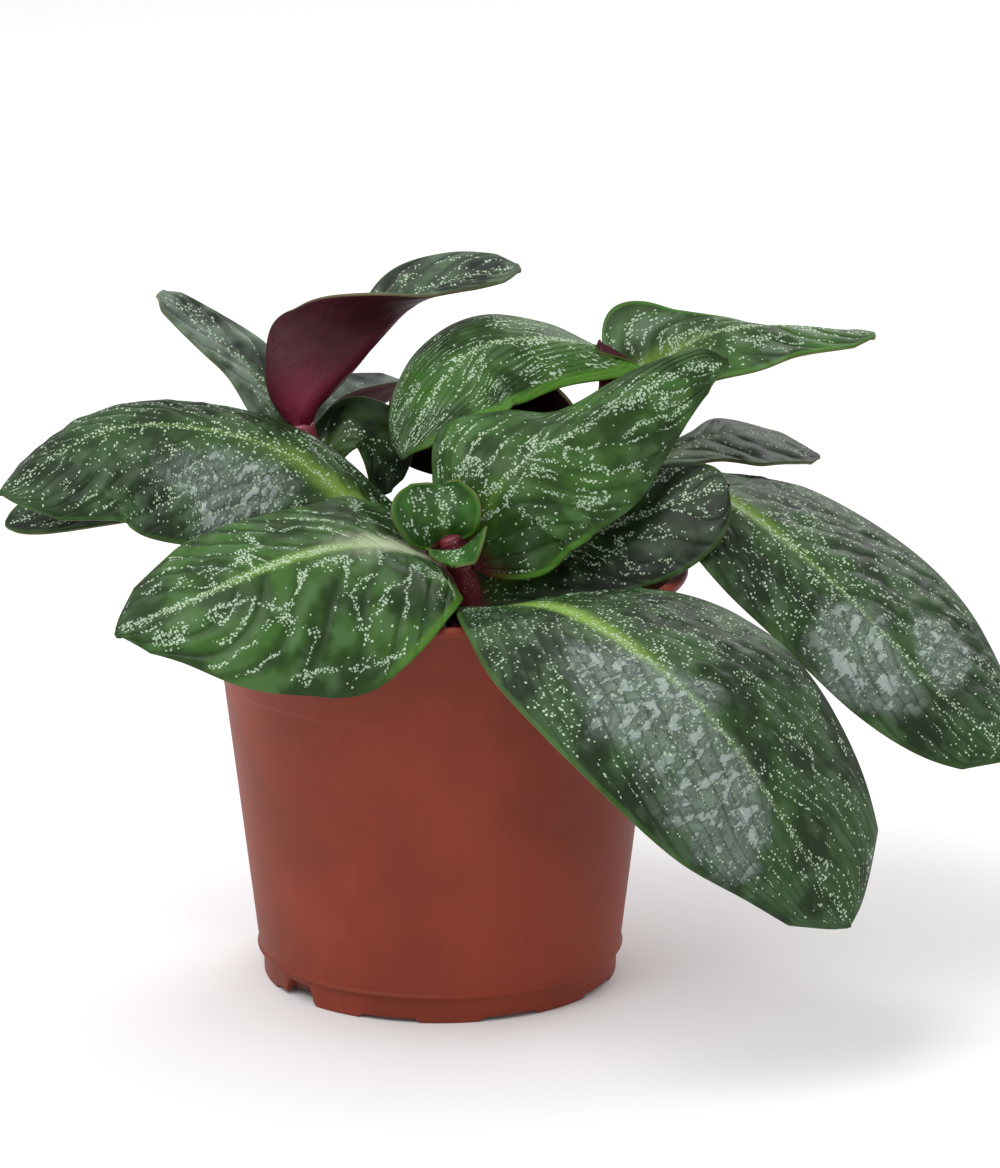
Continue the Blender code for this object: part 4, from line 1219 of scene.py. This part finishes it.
class MakeStage(bpy.types.Operator):
    """A pale floor, soft lights and the camera"""
    bl_idname = "crassula.make_stage"
    bl_label = "Stage"

    def execute(self, context):
        settings = context.scene.crassula_stage
        self.add_floor(settings)
        self.add_world(context.scene, settings)
        self.add_light("key_light", (-0.5, -0.5, 1.1), 0.9, settings.key)
        self.add_light("back_light", (0.5, 0.9, 0.9), 0.9, settings.fill)
        self.add_camera(context.scene)
        return {"FINISHED"}

    def add_floor(self, settings):
        """A wide round floor."""
        paint = Paint("studio_floor", {"Specular IOR Level": 0.1})
        cloud = paint.noise(paint.here(), 400.0, 2.0)
        paint.finish(paint.mix(cloud, tuple(settings.floor), tinted(settings.floor, 0.98)), 0.85)
        disc = bmesh.new()
        bmesh.ops.create_circle(disc, cap_ends=True, segments=96, radius=9.0)
        mesh = bpy.data.meshes.new("studio_floor")
        disc.to_mesh(mesh)
        disc.free()
        mesh.materials.append(paint.material)
        floor = bpy.data.objects.new("studio_floor", mesh)
        bpy.context.scene.collection.objects.link(floor)

    def add_world(self, scene, settings):
        """An even white surround."""
        world = bpy.data.worlds.new("surround")
        world.use_nodes = True
        background = world.node_tree.nodes["Background"]
        background.inputs["Color"].default_value = (1.0, 1.0, 1.0, 1.0)
        background.inputs["Strength"].default_value = settings.sky
        scene.world = world
        scene.view_settings.view_transform = "Standard"

    def add_light(self, name, place, size, power):
        """A large soft light that faces the plant."""
        light = bpy.data.lights.new(name, "AREA")
        light.shape = "DISK"
        light.size = size
        light.energy = power
        lamp = bpy.data.objects.new(name, light)
        lamp.location = place
        lamp.rotation_euler = (Vector((0, 0, 0.09)) - Vector(place)).to_track_quat("-Z", "Y").to_euler()
        bpy.context.scene.collection.objects.link(lamp)

    def add_camera(self, scene):
        """The camera at the photograph's angle."""
        camera = bpy.data.cameras.new("camera")
        camera.lens = CAMERA_LENS
        camera.sensor_width = 36.0
        holder = bpy.data.objects.new("camera", camera)
        holder.location = CAMERA_PLACE
        aim = Vector(CAMERA_AIM) - Vector(CAMERA_PLACE)
        holder.rotation_euler = aim.to_track_quat("-Z", "Y").to_euler()
        scene.collection.objects.link(holder)
        scene.camera = holder


class PlantPanel(bpy.types.Panel):
    """Buttons that make each part of the plant"""
    bl_idname = "VIEW3D_PT_crassula"
    bl_label = "Potted crassula"
    bl_space_type = "VIEW_3D"
    bl_region_type = "UI"
    bl_category = "Crassula"

    def draw(self, context):
        for operator in OPERATORS:
            self.layout.operator(operator.bl_idname)


OPERATORS = (MakeStage, MakePot, MakeSoil, MakeStems, MakeLeaves)
SETTINGS = {
    "crassula_pot": PotSettings,
    "crassula_soil": SoilSettings,
    "crassula_stem": StemSettings,
    "crassula_leaf": LeafSettings,
    "crassula_stage": StageSettings,
}


def register():
    """Adds the settings, the operators and the panel."""
    for name, group in SETTINGS.items():
        bpy.utils.register_class(group)
        setattr(bpy.types.Scene, name, PointerProperty(type=group))
    for operator in (*OPERATORS, PlantPanel):
        bpy.utils.register_class(operator)


def unregister():
    """Takes them away again."""
    for operator in reversed((*OPERATORS, PlantPanel)):
        bpy.utils.unregister_class(operator)
    for name, group in SETTINGS.items():
        delattr(bpy.types.Scene, name)
        bpy.utils.unregister_class(group)


def main():
    """Makes the stage and every piece."""
    register()
    bpy.ops.crassula.make_stage()
    bpy.ops.crassula.make_pot()
    bpy.ops.crassula.make_soil()
    bpy.ops.crassula.make_stems()
    bpy.ops.crassula.make_leaves()


if __name__ == "__main__":
    main()
